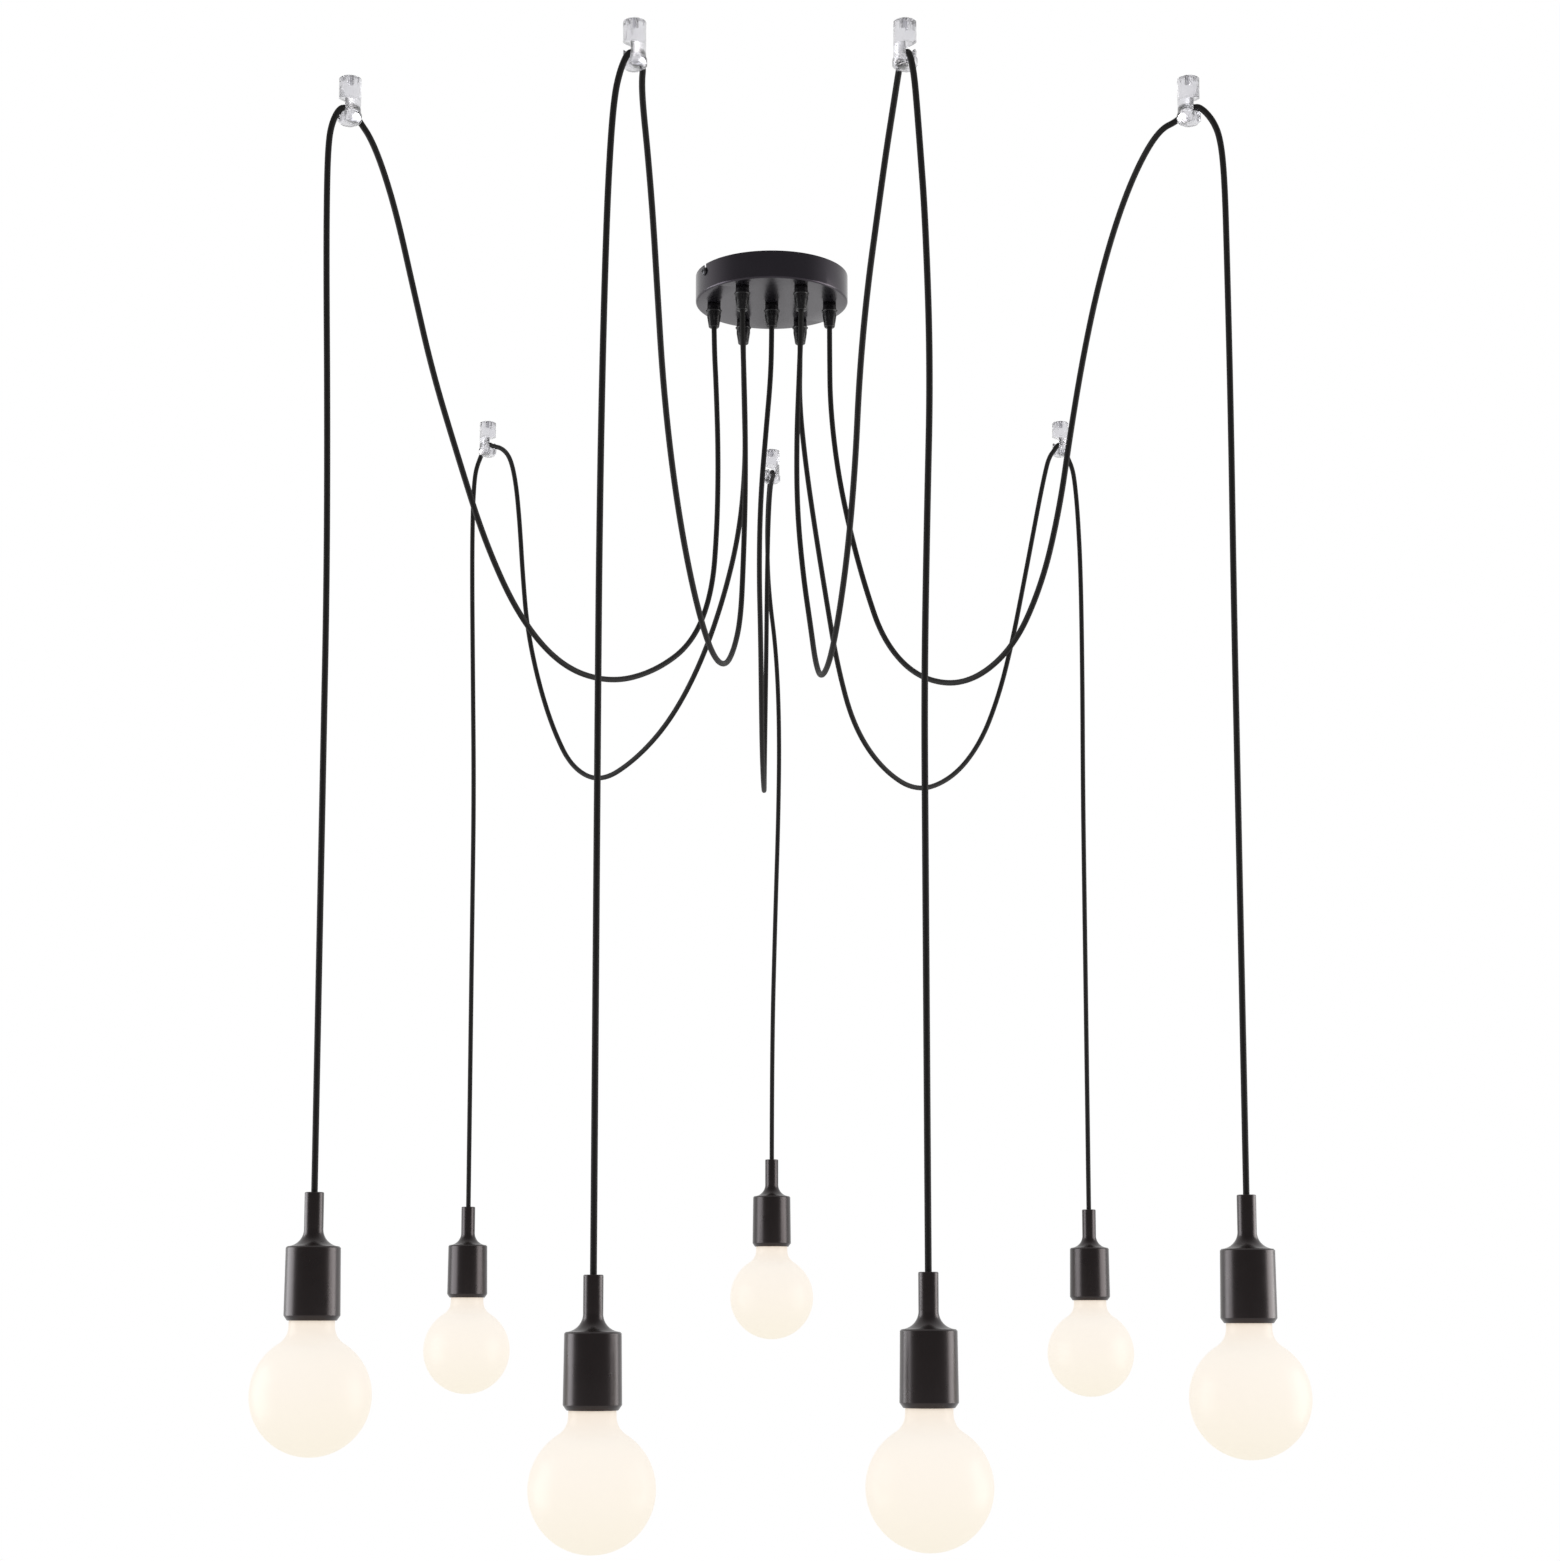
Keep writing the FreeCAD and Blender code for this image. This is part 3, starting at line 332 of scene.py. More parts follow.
# The studio: an even light from all round, a pale floor far below, a soft box on each side, and
# in reflections a white backdrop and a dim front
EVEN_LIGHT = 0.85
DIM_FRONT = 0.24
FLOOR_HEIGHT = -2.3
FLOOR_HALF = 8
BOX_DISTANCE = 2.6
BOX_HEIGHT = -0.95
BOX_SIZE = (1.9, 2.3)


# ---------------------------------------------------------------- materials


class Signal:
    """An output of a node. A sum with it adds a Math node to its net."""

    def __init__(self, net, socket):
        self.net, self.socket = net, socket

    def outlet(self, name):
        """Another output of the same node."""
        return Signal(self.net, self.socket.node.outputs[name])

    def maths(self, operation, *values):
        """The outcome of a Math node in the same net."""
        return self.net.add("Math", {"operation": operation}, dict(enumerate(values)))

    def __add__(self, other):
        return self.maths("ADD", self, other)

    def __sub__(self, other):
        return self.maths("SUBTRACT", self, other)

    def __rsub__(self, other):
        return self.maths("SUBTRACT", other, self)

    def __mul__(self, other):
        return self.maths("MULTIPLY", self, other)

    __radd__, __rmul__ = __add__, __mul__


class Net:
    """A tree of nodes, and the one method that adds to it."""

    def __init__(self, tree):
        self.tree = tree

    def feed(self, socket, value):
        """Links a signal to a socket, or sets the socket to a number, a vector or a colour."""
        if isinstance(value, Signal):
            self.tree.links.new(value.socket, socket)
        elif isinstance(value, tuple) and len(value) == 3 and socket.type == "RGBA":
            socket.default_value = (*value, 1)
        else:
            socket.default_value = value

    def add(self, kind, settings=None, values=None, output=0):
        """A new node of a type, with its settings made before its sockets are fed."""
        node = self.tree.nodes.new("ShaderNode" + kind)
        for key, value in (settings or {}).items():
            if key == "stops":
                for stop, (place, colour) in zip(self.stops_of(node, len(value)), value):
                    stop.position, stop.color = place, (*colour, 1)
            else:
                setattr(node, key, value)
        for key, value in (values or {}).items():
            self.feed(node.inputs[key], value)
        return Signal(self, node.outputs[output])

    @staticmethod
    def stops_of(node, count):
        """A ramp's stops, made up to a count. Their places are set later."""
        while len(node.color_ramp.elements) < count:
            node.color_ramp.elements.new(0.5)
        return node.color_ramp.elements


class Finish(Net):
    """One material: a Principled shader with its fixed values, and the nodes that vary it."""

    def __init__(self, name, **fixed):
        self.material = bpy.data.materials.new(name)
        self.material.use_nodes = True
        super().__init__(self.material.node_tree)
        self.shader = self.tree.nodes["Principled BSDF"]
        for key, value in fixed.items():
            self.feed(self.shader.inputs[key.replace("_", " ")], value)

    def place(self):
        """The surface's own Object coordinates."""
        return self.add("TexCoord", output="Object")

    def noise(self, grain_mm, detail=2.0, stretch=(1, 1, 1)):
        """A random value from 0 to 1 whose grains are about so many millimetres across."""
        where = self.add("VectorMath", {"operation": "MULTIPLY"}, {0: self.place(), 1: stretch})
        settings = {"Vector": where, "Scale": 1000 / grain_mm, "Detail": detail}
        return self.add("TexNoise", values=settings, output="Fac")

    def between(self, mask, first, second):
        """A colour from first to second as the mask goes from 0 to 1."""
        stops = [(0.0, first), (1.0, second)]
        return self.add("ValToRGB", {"stops": stops}, {"Fac": mask}, "Color")

    def colour(self, value):
        self.feed(self.shader.inputs["Base Color"], value)

    def roughness(self, value):
        self.feed(self.shader.inputs["Roughness"], value)

    def bump(self, height, depth_mm):
        """Raises the surface by height times a depth."""
        values = {"Height": height, "Strength": 1.0, "Distance": depth_mm * MM}
        self.feed(self.shader.inputs["Normal"], self.add("Bump", values=values, output="Normal"))


def powder_coat():
    """Satin black powder coat: a fine orange peel, a little uneven in gloss."""
    finish = Finish("powder_coat", Specular_IOR_Level=0.5, Specular_Tint=(0.95, 0.84, 1.0))
    peel = finish.noise(1.1, detail=1.0)
    cloud = finish.noise(28)
    finish.colour(finish.between(cloud, (0.0085, 0.0080, 0.0100), (0.0120, 0.0112, 0.0135)))
    finish.roughness(cloud * 0.07 + 0.19)
    finish.bump(peel, 0.010)
    return finish.material


def silicone():
    """Matt black silicone with a soft bloom, as it comes from its mould."""
    finish = Finish("matt_silicone", Specular_IOR_Level=0.5, Specular_Tint=(1.0, 0.91, 0.93))
    cloud = finish.noise(14)
    pores = finish.noise(0.35, detail=1.0)
    finish.colour(finish.between(cloud, (0.0062, 0.0040, 0.0036), (0.0090, 0.0060, 0.0054)))
    finish.roughness(cloud * 0.07 + 0.25)
    finish.bump(pores, 0.008)
    return finish.material


def wave(turns):
    """A wave from -1 to 1 that repeats with every whole turn."""
    return turns.maths("SINE", turns * FULL_TURN)


def braid():
    """Black textile braid: two sets of strands that wind round the cord and cross."""
    finish = Finish("black_braid", Specular_IOR_Level=0.2)
    split = finish.add("SeparateXYZ", values={0: finish.add("TexCoord", output="UV")})
    around = split * STRANDS_AROUND
    along = split.outlet("Y") * STRANDS_PER_METRE
    weave = wave(around + along) * wave(around - along) * 0.5 + 0.5
    fuzz = finish.noise(0.6)
    shades = (0.0064, 0.0057, 0.0053), (0.0098, 0.0089, 0.0083)
    finish.colour(finish.between(weave * 0.7 + fuzz * 0.3, *shades))
    finish.roughness(fuzz * 0.10 + 0.62)
    finish.bump(weave + fuzz * 0.3, 0.025)
    return finish.material


def moulded_black():
    """Black moulded nylon of the cord grips and the lamp sockets."""
    finish = Finish("black_nylon", Specular_IOR_Level=0.3)
    cloud = finish.noise(5)
    finish.colour(finish.between(cloud, (0.0050, 0.0046, 0.0054), (0.0085, 0.0080, 0.0090)))
    finish.roughness(cloud * 0.10 + 0.22)
    finish.bump(finish.noise(0.5, detail=1.0), 0.01)
    return finish.material


def opal_glass():
    """Opal glass lit from inside and warm. Its glow is painted darker at the neck, as shade under the holder, and
    grows warmer and a little dimmer towards the pole.
    """
    finish = Finish(
        "opal_glass", Specular_IOR_Level=0.0, Emission_Strength=0.352, Coat_Weight=0.25,
        Coat_Roughness=0.34,
    )
    cloud = finish.noise(60)
    finish.colour(finish.between(cloud, (0.785, 0.760, 0.715), (0.805, 0.780, 0.735)))
    down = finish.add("Attribute", {"attribute_name": "down"}, output="Fac")
    # The first stop paints the holder's shade on the neck; the later stops set the glow further down the globe.
    glow_and_painted_neck_shade = [
        (0.08, (0.85, 0.63, 0.41)), (0.26, (0.965, 0.855, 0.705)), (0.55, (1.0, 0.868, 0.680)),
        (1.0, (0.95, 0.83, 0.54)),
    ]
    glow = finish.add("ValToRGB", {"stops": glow_and_painted_neck_shade}, {"Fac": down + cloud * 0.1 - 0.05}, "Color")
    finish.feed(finish.shader.inputs["Emission Color"], glow)
    finish.roughness(cloud * 0.06 + 0.22)
    return finish.material


def clear_plastic():
    """Clear moulded plastic, faintly grey in its thickness, with flow lines."""
    finish = Finish(
        "clear_plastic", Transmission_Weight=1.0, IOR=1.40, Coat_Weight=0.5, Coat_Roughness=0.05,
    )
    cloud = finish.noise(9)
    finish.colour(finish.between(cloud, (0.64, 0.635, 0.67), (0.76, 0.755, 0.785)))
    finish.roughness(cloud * 0.08 + 0.21)
    finish.bump(finish.noise(3.5, detail=1.0, stretch=(1, 1, 0.35)), 0.03)
    return finish.material


def plated(name, dark, light, rough):
    """Bare or plated metal with fine drawn lines."""
    finish = Finish(name, Metallic=1.0)
    lines = finish.noise(1.2, detail=3.0, stretch=(1, 1, 9))
    finish.colour(finish.between(lines, dark, light))
    finish.roughness(lines * 0.16 + rough)
    finish.bump(lines, 0.01)
    return finish.material


def moulded(name, dark, light, rough):
    """Plain coloured plastic with a faint cloud."""
    finish = Finish(name)
    cloud = finish.noise(4)
    finish.colour(finish.between(cloud, dark, light))
    finish.roughness(cloud * 0.1 + rough)
    finish.bump(finish.noise(0.6, detail=1.0), 0.01)
    return finish.material


POWDER_COAT = powder_coat()
SILICONE = silicone()
BRAID = braid()
BLACK_NYLON = moulded_black()
OPAL = opal_glass()
CLEAR = clear_plastic()
ZINC = plated("zinc_plate", (0.42, 0.42, 0.41), (0.60, 0.60, 0.58), 0.28)
BRASS = plated("brass", (0.58, 0.42, 0.17), (0.74, 0.57, 0.27), 0.24)
ALUMINIUM = plated("drawn_aluminium", (0.55, 0.55, 0.55), (0.70, 0.70, 0.69), 0.26)
DARK_SCREW = plated("blackened_steel", (0.050, 0.050, 0.054), (0.090, 0.090, 0.095), 0.32)
IVORY = moulded("ivory_plastic", (0.66, 0.64, 0.58), (0.74, 0.72, 0.66), 0.34)
BROWN_CORE = moulded("brown_core", (0.110, 0.045, 0.020), (0.150, 0.065, 0.030), 0.36)
BLUE_CORE = moulded("blue_core", (0.020, 0.060, 0.230), (0.035, 0.090, 0.300), 0.36)
BLACK_SOCKET = moulded("black_socket", (0.010, 0.010, 0.010), (0.018, 0.018, 0.018), 0.30)


# ---------------------------------------------------------------- shaping


def finished(name, mesh, materials, body=None, smooth_degrees=None):
    """A piece from a bmesh, shaded smooth up to a crease angle. It rides on the body named."""
    data = bpy.data.meshes.new(name)
    mesh.to_mesh(data)
    mesh.free()
    for material in materials:
        data.materials.append(material)
    for polygon in data.polygons:
        polygon.use_smooth = True
    if smooth_degrees is not None:
        data.set_sharp_from_angle(angle=math.radians(smooth_degrees))
    piece = bpy.data.objects.new(name, data)
    bpy.context.scene.collection.objects.link(piece)
    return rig.ride(piece, body) if body else piece


def arc(start, middle, end, steps):
    """The points of an arc after its start, through a middle point to its end."""
    (x1, y1), (x2, y2), (x3, y3) = start, middle, end
    spread = 2 * (x1 * (y2 - y3) + x2 * (y3 - y1) + x3 * (y1 - y2))
    s1, s2, s3 = x1 * x1 + y1 * y1, x2 * x2 + y2 * y2, x3 * x3 + y3 * y3
    cx = (s1 * (y2 - y3) + s2 * (y3 - y1) + s3 * (y1 - y2)) / spread
    cy = (s1 * (x3 - x2) + s2 * (x1 - x3) + s3 * (x2 - x1)) / spread
    radius = math.hypot(x1 - cx, y1 - cy)
    angles = [math.atan2(y - cy, x - cx) for x, y in (start, middle, end)]
    turn = (angles[2] - angles[0]) % FULL_TURN
    if (angles[1] - angles[0]) % FULL_TURN > turn:
        turn -= FULL_TURN
    return [
        (cx + radius * math.cos(angles[0] + turn * i / steps),
         cy + radius * math.sin(angles[0] + turn * i / steps))
        for i in range(1, steps + 1)
    ]


def rounded(corners):
    """An outline whose corners (radius, height, fillet) are cut to arcs."""
    points = []
    for i, (x, y, fillet) in enumerate(corners):
        if fillet == 0:
            points.append((x, y))
            continue
        here = Vector((x, y))
        back = (Vector(corners[i - 1][:2]) - here).normalized()
        ahead = (Vector(corners[i + 1][:2]) - here).normalized()
        half = back.angle(ahead) / 2
        reach = fillet / math.tan(half)
        inward = (back + ahead).normalized() * (fillet / math.sin(half) - fillet)
        start, middle, end = here + back * reach, here + inward, here + ahead * reach
        points += [tuple(start), *arc(tuple(start), tuple(middle), tuple(end), FILLET_STEPS)]
    return points


def spun(outline_mm, steps):
    """A bmesh spun about the Z axis from (radius, height) points in millimetres."""
    mesh = bmesh.new()
    line = [mesh.verts.new((r * MM, 0, z * MM)) for r, z in outline_mm]
    edges = [mesh.edges.new(pair) for pair in zip(line, line[1:]) if pair[0].co.x or pair[1].co.x]
    bmesh.ops.spin(
        mesh, geom=line + edges, cent=(0, 0, 0), axis=(0, 0, 1), angle=FULL_TURN, steps=steps,
        use_merge=True,
    )
    bmesh.ops.remove_doubles(mesh, verts=mesh.verts, dist=MERGE_DISTANCE)
    bmesh.ops.recalc_face_normals(mesh, faces=mesh.faces)
    return mesh


def copy_of_node(node):
    """A merged copy of a CAD node's mesh."""
    mesh = bmesh.new()
    mesh.from_mesh(frame["nodes"][node].data)
    bmesh.ops.remove_doubles(mesh, verts=mesh.verts, dist=2 * MERGE_DISTANCE)
    return mesh


def smooth_copy(node, body, material):
    """A smoothly shaded piece of the same form, which stands for a CAD node."""
    piece = finished(node + "_skin", copy_of_node(node), [material], body, smooth_degrees=28)
    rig.replaces(piece, node)


def lamp_axis(lamp):
    """The place of a lamp's axis and the top of its holder, read from the model."""
    low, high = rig.box(f"holder_sleeve_{lamp}")
    return Vector(((low.x + high.x) / 2, (low.y + high.y) / 2, high.z))


# ---------------------------------------------------------------- cords


def spline_path(route):
    """Points along the smooth curve that a route's points control."""
    curve = bpy.data.curves.new("route", "CURVE")
    curve.dimensions, curve.resolution_u = "3D", 12
    spline = curve.splines.new("NURBS")
    spline.points.add(len(route) - 1)
    for point, place in zip(spline.points, route):
        point.co = (*place, 1)
    spline.order_u, spline.use_endpoint_u = 3, True
    holder = bpy.data.objects.new("route", curve)
    line = bpy.data.meshes.new_from_object(holder)
    path = [vertex.co.copy() for vertex in line.vertices]
    bpy.data.objects.remove(holder)
    bpy.data.curves.remove(curve)
    bpy.data.meshes.remove(line)
    return path


def length_of(path):
    """The length of a path from point to point."""
    return sum((there - here).length for here, there in zip(path, path[1:]))


def tube_along(path, radius, sides):
    """A tube whose ring is extruded along a path, with a UV map of turns and metres."""
    mesh = bmesh.new()
    around = mesh.verts.layers.float.new("around")
    along = mesh.verts.layers.float.new("along")
    heading = (path[1] - path[0]).normalized()
    place = Matrix.Translation(path[0]) @ heading.to_track_quat("Z", "Y").to_matrix().to_4x4()
    ring = bmesh.ops.create_circle(mesh, segments=sides, radius=radius, matrix=place)["verts"]
    for i, vertex in enumerate(ring):
        vertex[around] = i / sides
    edges = list(mesh.edges)
    travelled = 0.0
    for i in range(1, len(path)):
        step = path[i] - path[i - 1]
        travelled += step.length
        grown = bmesh.ops.extrude_edge_only(mesh, edges=edges)["geom"]
        ring = [item for item in grown if isinstance(item, bmesh.types.BMVert)]
        edges = [item for item in grown if isinstance(item, bmesh.types.BMEdge)]
        bmesh.ops.translate(mesh, verts=ring, vec=step)
        ahead = path[min(i + 1, len(path) - 1)] - path[i - 1]
        turn = heading.rotation_difference(ahead.normalized())
        bmesh.ops.rotate(mesh, verts=ring, cent=path[i], matrix=turn.to_matrix())
        heading = ahead.normalized()
        for vertex in ring:
            vertex[along] = travelled
    layer = mesh.loops.layers.uv.new("braid")
    for face in mesh.faces:
        turns = [loop.vert[around] for loop in face.loops]
        for loop, turn in zip(face.loops, turns):
            over_the_seam = 1 if max(turns) - turn > 0.5 else 0
            loop[layer].uv = (turn + over_the_seam, loop.vert[along])
    bmesh.ops.holes_fill(mesh, edges=[edge for edge in mesh.edges if edge.is_boundary])
    bmesh.ops.recalc_face_normals(mesh, faces=mesh.faces)
    return mesh


def cord_piece(name, route):
    """A braided cord along a route, and the path that it follows."""
    path = spline_path(route)
    mesh = tube_along(path, CORD_RADIUS_MM * MM, CORD_SIDES)
    return finished(name, mesh, [BRAID], smooth_degrees=50), path


def make_cords(sleeves):
    """Every lamp's loop, which stays with the ceiling, and its drop, which swings with the lamp."""
    facts = {"diameter": 2 * CORD_RADIUS_MM * MM, "stiffness": "medium", "lay": "hanging"}
    for lamp in LAMPS:
        joint = (Vector(LOOPS[lamp][-1]) + Vector(DROPS[lamp][0])) / 2
        loop, path = cord_piece(f"loop_{lamp}", [*LOOPS[lamp], joint])
        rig.ride(loop, "ceiling_set")
        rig.replaces(loop, f"cord_loop_{lamp}")
        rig.cord(loop, exit=path[0], length=length_of(path), far_end="object", path=path, **facts)

        drop, path = cord_piece(f"drop_{lamp}", straightened([joint, *DROPS[lamp]]))
        end = joint - Vector((0, 0, BEND_REACH_MM * MM))
        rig.blend(drop, "ceiling_set", f"pendant_{lamp}", start=joint, end=end)
        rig.replaces(drop, f"cord_drop_{lamp}")
        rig.cord(
            drop, exit=path[0], length=length_of(path), far_end="fitting", path=path,
            with_pieces=[sleeves[lamp]], **facts,
        )


def straightened(route):
    """The route with one more point on its long last run, so that its curve stays near its tube."""
    before, corner, end = (Vector(point) for point in route[-3:])
    reach = (corner - before).length
    extra = corner + (end - corner).normalized() * reach
    return [*route[:-1], extra, end] if (end - extra).length > reach else list(route)


# ---------------------------------------------------------------- lamps


def sleeve_outline():
    """Half the sleeve's section, from its top down, about its top: (radius, height) in mm."""
    stem = rounded([(2.85, -51.5, 0), (2.85, 0, 0.3), (7.55, 0, 0.9), (7.55, -27.7, 0)])
    flare = arc((7.55, -27.7), (9.75, -36.3), (20.2, -42.3), 14)
    body = rounded(
        [(20.2, -42.3, 0), (21.4, -43.5, 0.7), (22.05, -96.1, 0.8), (19.3, -100, 0.35),
         (18.5, -100, 0.35), (18.5, -51.5, 0), (2.85, -51.5, 0)]
    )
    return stem + flare + body[1:]


def globe_outline():
    """Half the globe's section about the holder's rim, from the neck's top to the pole, in mm."""
    globe, centre, neck, fillet = 47.5, -58.0, 17.9, 16.0
    beside = neck + fillet
    rise = math.sqrt((globe + fillet) ** 2 - beside**2)
    touch = math.atan2(rise, beside)
    half = math.pi + touch / 2
    swing = (touch + math.pi / 2) / 2
    neck_low = (neck, centre + rise)
    fillet_middle = (beside + fillet * math.cos(half), centre + rise + fillet * math.sin(half))
    joint = (globe * math.cos(touch), centre + globe * math.sin(touch))
    bulge = (globe * math.cos(touch - swing), centre + globe * math.sin(touch - swing))
    outline = rounded(
        [(0, 12.0, 0), (12.35, 12.0, 0), (12.35, 6.7, 0.8), (15.9, 5.5, 1.0), (neck, 3.5, 1.2),
         (*neck_low, 0)]
    )
    outline += arc(neck_low, fillet_middle, joint, 12)
    outline += arc(joint, bulge, (0.0, centre - globe), 44)
    return outline


def make_globe(lamp, place):
    """The globe. Its glow is painted darker at the neck, as shade under the holder, and warmer down from there, by the
    share of its height.
    """
    mesh = spun(globe_outline(), 72)
    down = mesh.verts.layers.float.new("down")
    heights = [vertex.co.z for vertex in mesh.verts]
    top, low = max(heights), min(heights)
    for vertex in mesh.verts:
        vertex[down] = (top - vertex.co.z) / (top - low)
    bmesh.ops.translate(mesh, verts=mesh.verts, vec=place)
    globe = finished(f"globe_{lamp}", mesh, [OPAL], f"bulb_{lamp}", smooth_degrees=60)
    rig.replaces(globe, f"bulb_globe_{lamp}")
    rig.slot(globe, "bulb_opal")


def cap_outline():
    """Half the screw cap's section about the holder's rim, in mm: skirt, shell, cone, contact."""
    inside, shell_radius, ring_gap, rings = 12.45, 12.85, 0.4, 44
    skirt = [(inside, 12.6), (inside, 7.0), (13.3, 7.0), (13.3, 8.0)]
    shell = [(shell_radius, 8.4 + ring_gap * i) for i in range(rings)]
    tip = rounded(
        [(shell_radius, 25.9, 0), (10.9, 28.4, 1.0), (6.3, 31.8, 0.4), (4.8, 32.4, 0.3),
         (3.4, 34.0, 0.6), (0, 34.0, 0)]
    )
    return [*skirt, *shell, *tip, (0, 12.6), (inside, 12.6)]


def make_cap(lamp, place):
    """The screw cap. Its shell's rings are drawn in and out, by height and by turn, to a thread."""
    mesh = spun(cap_outline(), 48)
    low, high, pitch, depth, least_radius = 9.0 * MM, 25.4 * MM, 3.6 * MM, 0.25 * MM, 12.6 * MM
    for vertex in mesh.verts:
        height, radius = vertex.co.z, vertex.co.xy.length
        if radius > least_radius and low < height < high:
            angle = math.atan2(vertex.co.y, vertex.co.x)
            fade = min(1, (height - low) / MM, (high - height) / MM)
            ridge = depth * fade * math.cos(FULL_TURN * height / pitch - angle)
            vertex.co.xy *= (radius + ridge) / radius
    bmesh.ops.translate(mesh, verts=mesh.verts, vec=place)
    cap = finished(f"cap_{lamp}", mesh, [ALUMINIUM], f"bulb_{lamp}", smooth_degrees=35)
    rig.replaces(cap, f"bulb_cap_{lamp}")
    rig.slot(cap, "cap_metal")


def make_sleeve(lamp, place):
    """The silicone holder: a thin stem that flares to a straight skirt."""
    mesh = spun(sleeve_outline(), 64)
    bmesh.ops.translate(mesh, verts=mesh.verts, vec=place)
    sleeve = finished(f"sleeve_{lamp}", mesh, [SILICONE], f"pendant_{lamp}", smooth_degrees=35)
    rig.replaces(sleeve, f"holder_sleeve_{lamp}")
    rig.slot(sleeve, "sleeve_silicone")
    return sleeve


def make_lamps():
    """Sleeve, globe and cap of every lamp. The sockets keep their CAD form."""
    sleeves = {}
    for lamp in LAMPS:
        top = lamp_axis(lamp)
        rim = Vector((top.x, top.y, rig.box(f"holder_sleeve_{lamp}")[0].z))
        sleeves[lamp] = make_sleeve(lamp, top)
        make_globe(lamp, rim)
        make_cap(lamp, rim)
        smooth_copy(f"lamp_socket_{lamp}", f"pendant_{lamp}", BLACK_SOCKET)
    return sleeves


# ---------------------------------------------------------------- ceiling set


def islands(mesh):
    """The separate solids of a bmesh, each as a set of faces."""
    left = set(mesh.faces)
    while left:
        island, edge_of_it = set(), [left.pop()]
        while edge_of_it:
            face = edge_of_it.pop()
            island.add(face)
            for edge in face.edges:
                for other in edge.link_faces:
                    if other in left:
                        left.remove(other)
                        edge_of_it.append(other)
        yield island


def make_core_wires():
    """The cores: brown ones end on one half of the terminal strip and blue ones on the other."""
    mesh = copy_of_node("core_wires")
    turn = math.radians(BRACKET_TURN_DEGREES)
    along_strip = Vector((math.cos(turn), math.sin(turn), 0))
    for wire in islands(mesh):
        tip = max((vertex for face in wire for vertex in face.verts), key=lambda v: v.co.z)
        blue = tip.co.dot(along_strip) > 0
        for face in wire:
            face.material_index = 1 if blue else 0
    cores = [BROWN_CORE, BLUE_CORE]
    piece = finished("core_wires_skin", mesh, cores, "ceiling_set", smooth_degrees=40)
    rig.replaces(piece, "core_wires")


def make_ceiling_set():
    """Canopy, bracket, terminal strip, cord grips and hooks."""
    coats = {
        "canopy": POWDER_COAT, "ceiling_bracket": ZINC, "side_screws": DARK_SCREW,
        "earth_screw": BRASS, "terminal_strip": IVORY, "terminal_inserts": BRASS,
        "terminal_screws": ZINC, "gland_bodies": BLACK_NYLON, "gland_caps": BLACK_NYLON,
        "gland_nuts": BLACK_NYLON,
    }
    for node, material in coats.items():
        smooth_copy(node, "ceiling_set", material)
    for lamp in LAMPS:
        smooth_copy(f"ceiling_hook_{lamp}", "ceiling_set", CLEAR)
    make_core_wires()


# ---------------------------------------------------------------- studio


def make_camera():
    """The camera of the photograph's view."""
    data = bpy.data.cameras.new("photograph_view")
    data.sensor_width, data.lens = SENSOR_MM, LENS_MM
    data.shift_x, data.shift_y = SHIFT_ACROSS, SHIFT_UP
    data.clip_start, data.clip_end = NEAREST, FURTHEST
    camera = bpy.data.objects.new("photograph_view", data)
    camera.location = VIEW_PLACE
    camera.rotation_euler = (math.radians(90 + VIEW_UP_DEGREES), 0, 0)
    bpy.context.scene.collection.objects.link(camera)
    bpy.context.scene.camera = camera


def backdrop(net, shader, output, across, dim_at, white_at, share=1.0):
    """White where the camera looks, straight or through glass, over a shader that gives the light.

    Reflections see the white too, from the place along Y where it has grown full.
    """
    rays = net.add("LightPath", output="Is Camera Ray")
    reach = {"Value": across, "From Min": dim_at, "From Max": white_at}
    grown = net.add("MapRange", {"interpolation_type": "SMOOTHSTEP"}, reach)
    looks = rays.maths("MAXIMUM", rays, rays.outlet("Is Transmission Ray"))
    seen = looks.maths("MAXIMUM", looks, rays.outlet("Is Glossy Ray") * grown)
    white = net.add("Emission", values={"Color": (1, 1, 1), "Strength": 1.0})
    mixed = net.add("MixShader", values={0: seen * share, 1: shader, 2: white})
    net.feed(output.inputs["Surface"], mixed)


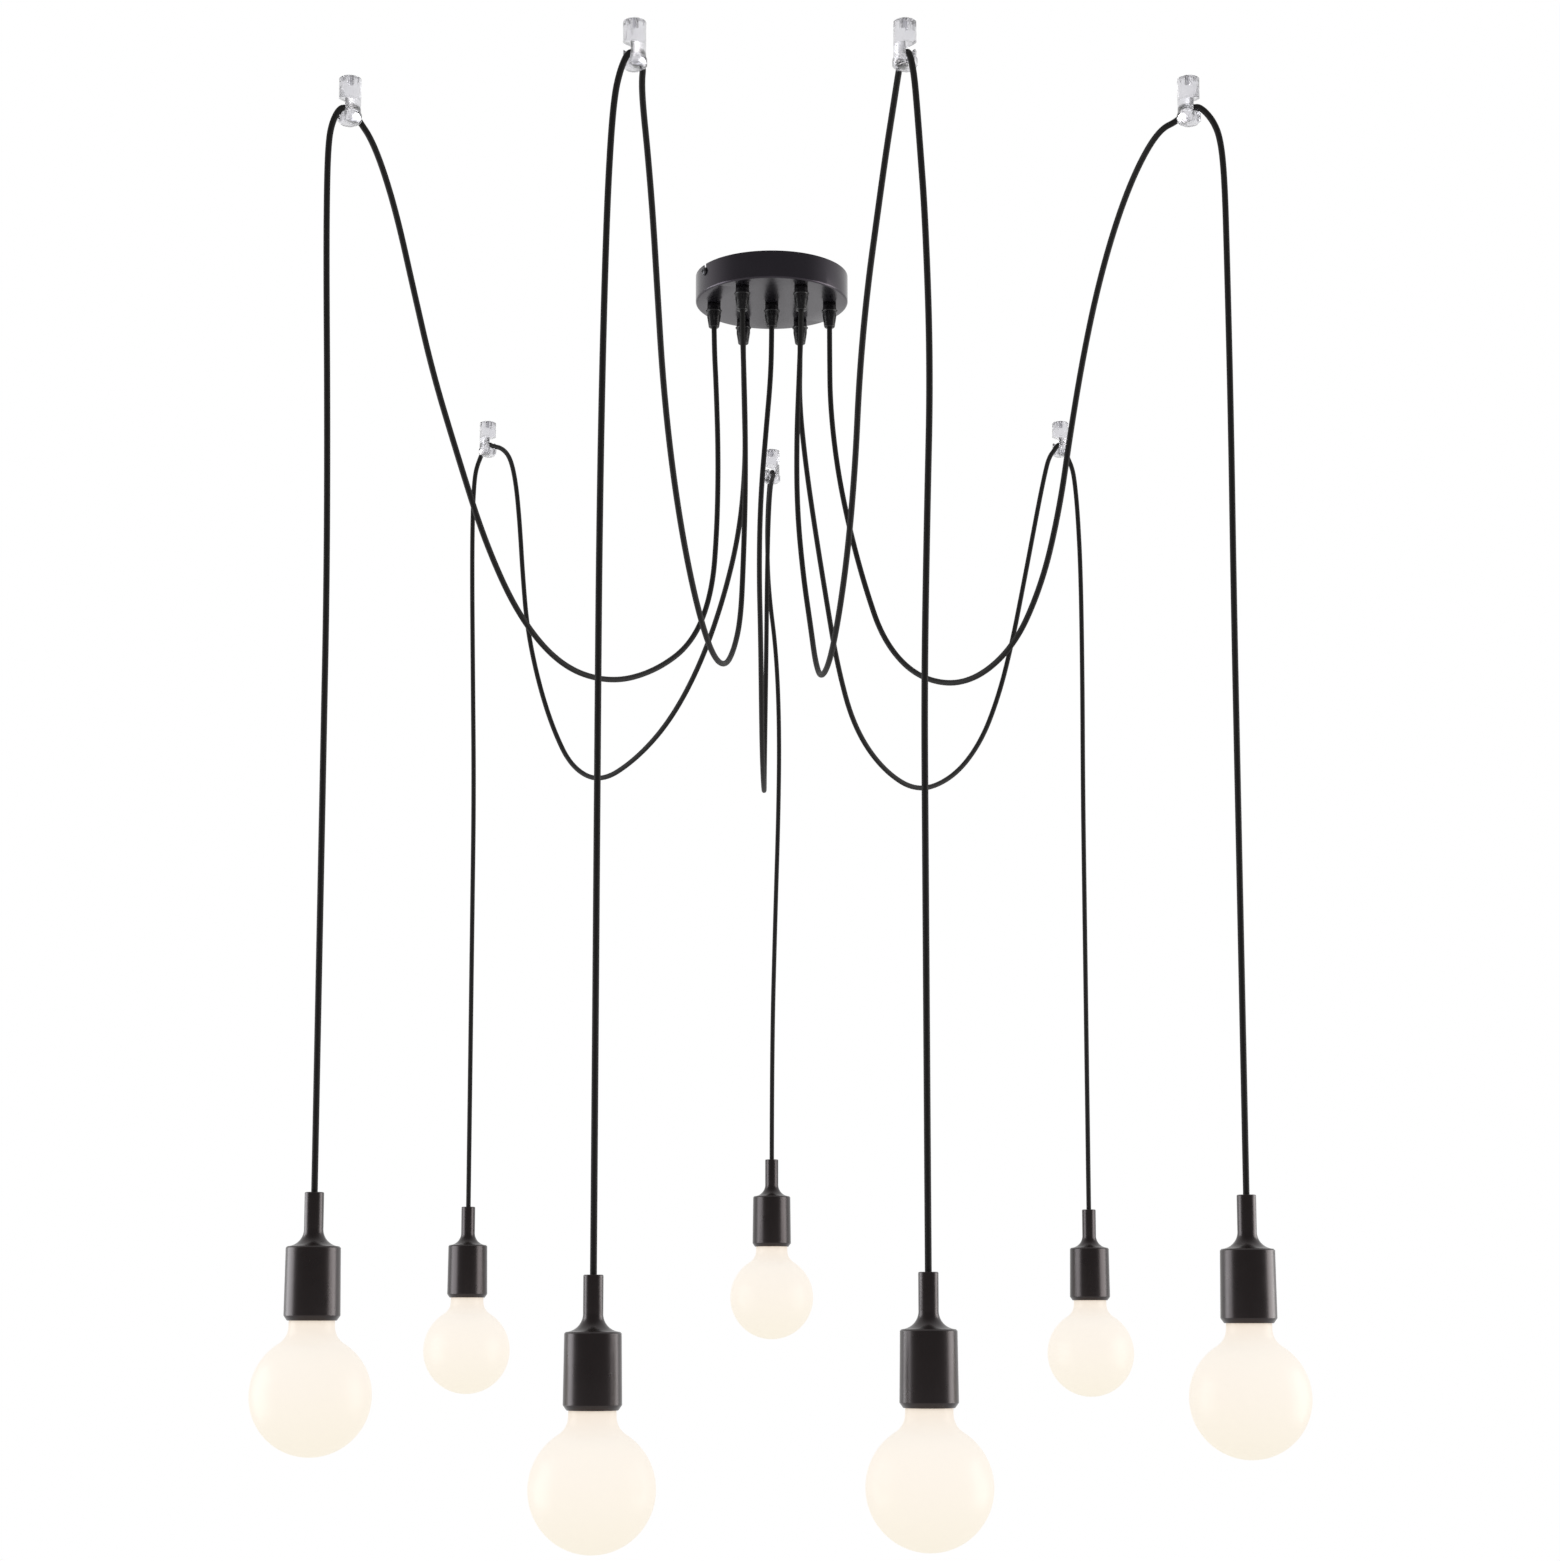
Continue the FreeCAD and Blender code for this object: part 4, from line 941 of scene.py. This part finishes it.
def make_surroundings():
    """A white backdrop over an even light, and a pale floor far below that keeps a faint shadow."""
    world = bpy.data.worlds.new("studio")
    bpy.context.scene.world = world
    world.use_nodes = True
    net = Net(world.node_tree)
    mirrored = net.add("LightPath", output="Is Glossy Ray")
    strength = EVEN_LIGHT - mirrored * (EVEN_LIGHT - DIM_FRONT)
    light = net.add("Background", values={"Color": (1.0, 0.99, 1.0), "Strength": strength})
    heading = net.add("TexCoord", output="Generated")
    across = net.add("SeparateXYZ", values={0: heading}, output="Y")
    output = net.tree.nodes["World Output"]
    backdrop(net, light, output, across, dim_at=-0.6, white_at=0.3)

    mesh = bmesh.new()
    bmesh.ops.create_grid(mesh, x_segments=2, y_segments=2, size=FLOOR_HALF)
    bmesh.ops.translate(mesh, verts=mesh.verts, vec=(0, 0, FLOOR_HEIGHT))
    paint = Finish("pale_floor", Base_Color=(0.90, 0.90, 0.90), Roughness=0.7)
    across = paint.add("SeparateXYZ", values={0: paint.place()}, output="Y")
    surface = Signal(paint, paint.shader.outputs[0])
    distance = paint.add("VectorMath", {"operation": "LENGTH"}, {0: paint.place()}, "Value")
    reach = {"Value": distance, "From Min": 1.5, "From Max": 6.0, "To Min": 0.94}
    share = paint.add("MapRange", values=reach)
    output = paint.tree.nodes["Material Output"]
    backdrop(paint, surface, output, across, dim_at=-0.5, white_at=1.0, share=share)
    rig.stage(finished("floor", mesh, [paint.material]))


def softbox(name, across, watts, colour):
    """A lamp beside the pendant that faces it. It shows as a soft band in what is glossy."""
    data = bpy.data.lights.new(name, "AREA")
    data.shape = "RECTANGLE"
    data.size, data.size_y = BOX_SIZE
    data.energy, data.color = watts, colour
    lamp = bpy.data.objects.new(name, data)
    lamp.location = (across, 0, BOX_HEIGHT)
    lamp.rotation_euler = Vector((-across, 0, 0)).to_track_quat("-Z", "Y").to_euler()
    lamp.visible_diffuse = False
    bpy.context.scene.collection.objects.link(lamp)


def make_lights():
    """A cool box on the left and a warm one on the right."""
    softbox("left_box", -BOX_DISTANCE, 59, (0.97, 0.98, 1.0))
    softbox("right_box", BOX_DISTANCE, 62, (1.0, 0.97, 0.95))


bpy.context.scene.view_settings.view_transform = "Standard"
make_camera()
make_cords(make_lamps())
make_ceiling_set()
make_surroundings()
make_lights()

with open("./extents.json", "w") as sizes:
    boxes = {"cad": CAD_BOX, "visual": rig.bounds()}
    json.dump({name: [list(corner) for corner in box] for name, box in boxes.items()}, sizes)
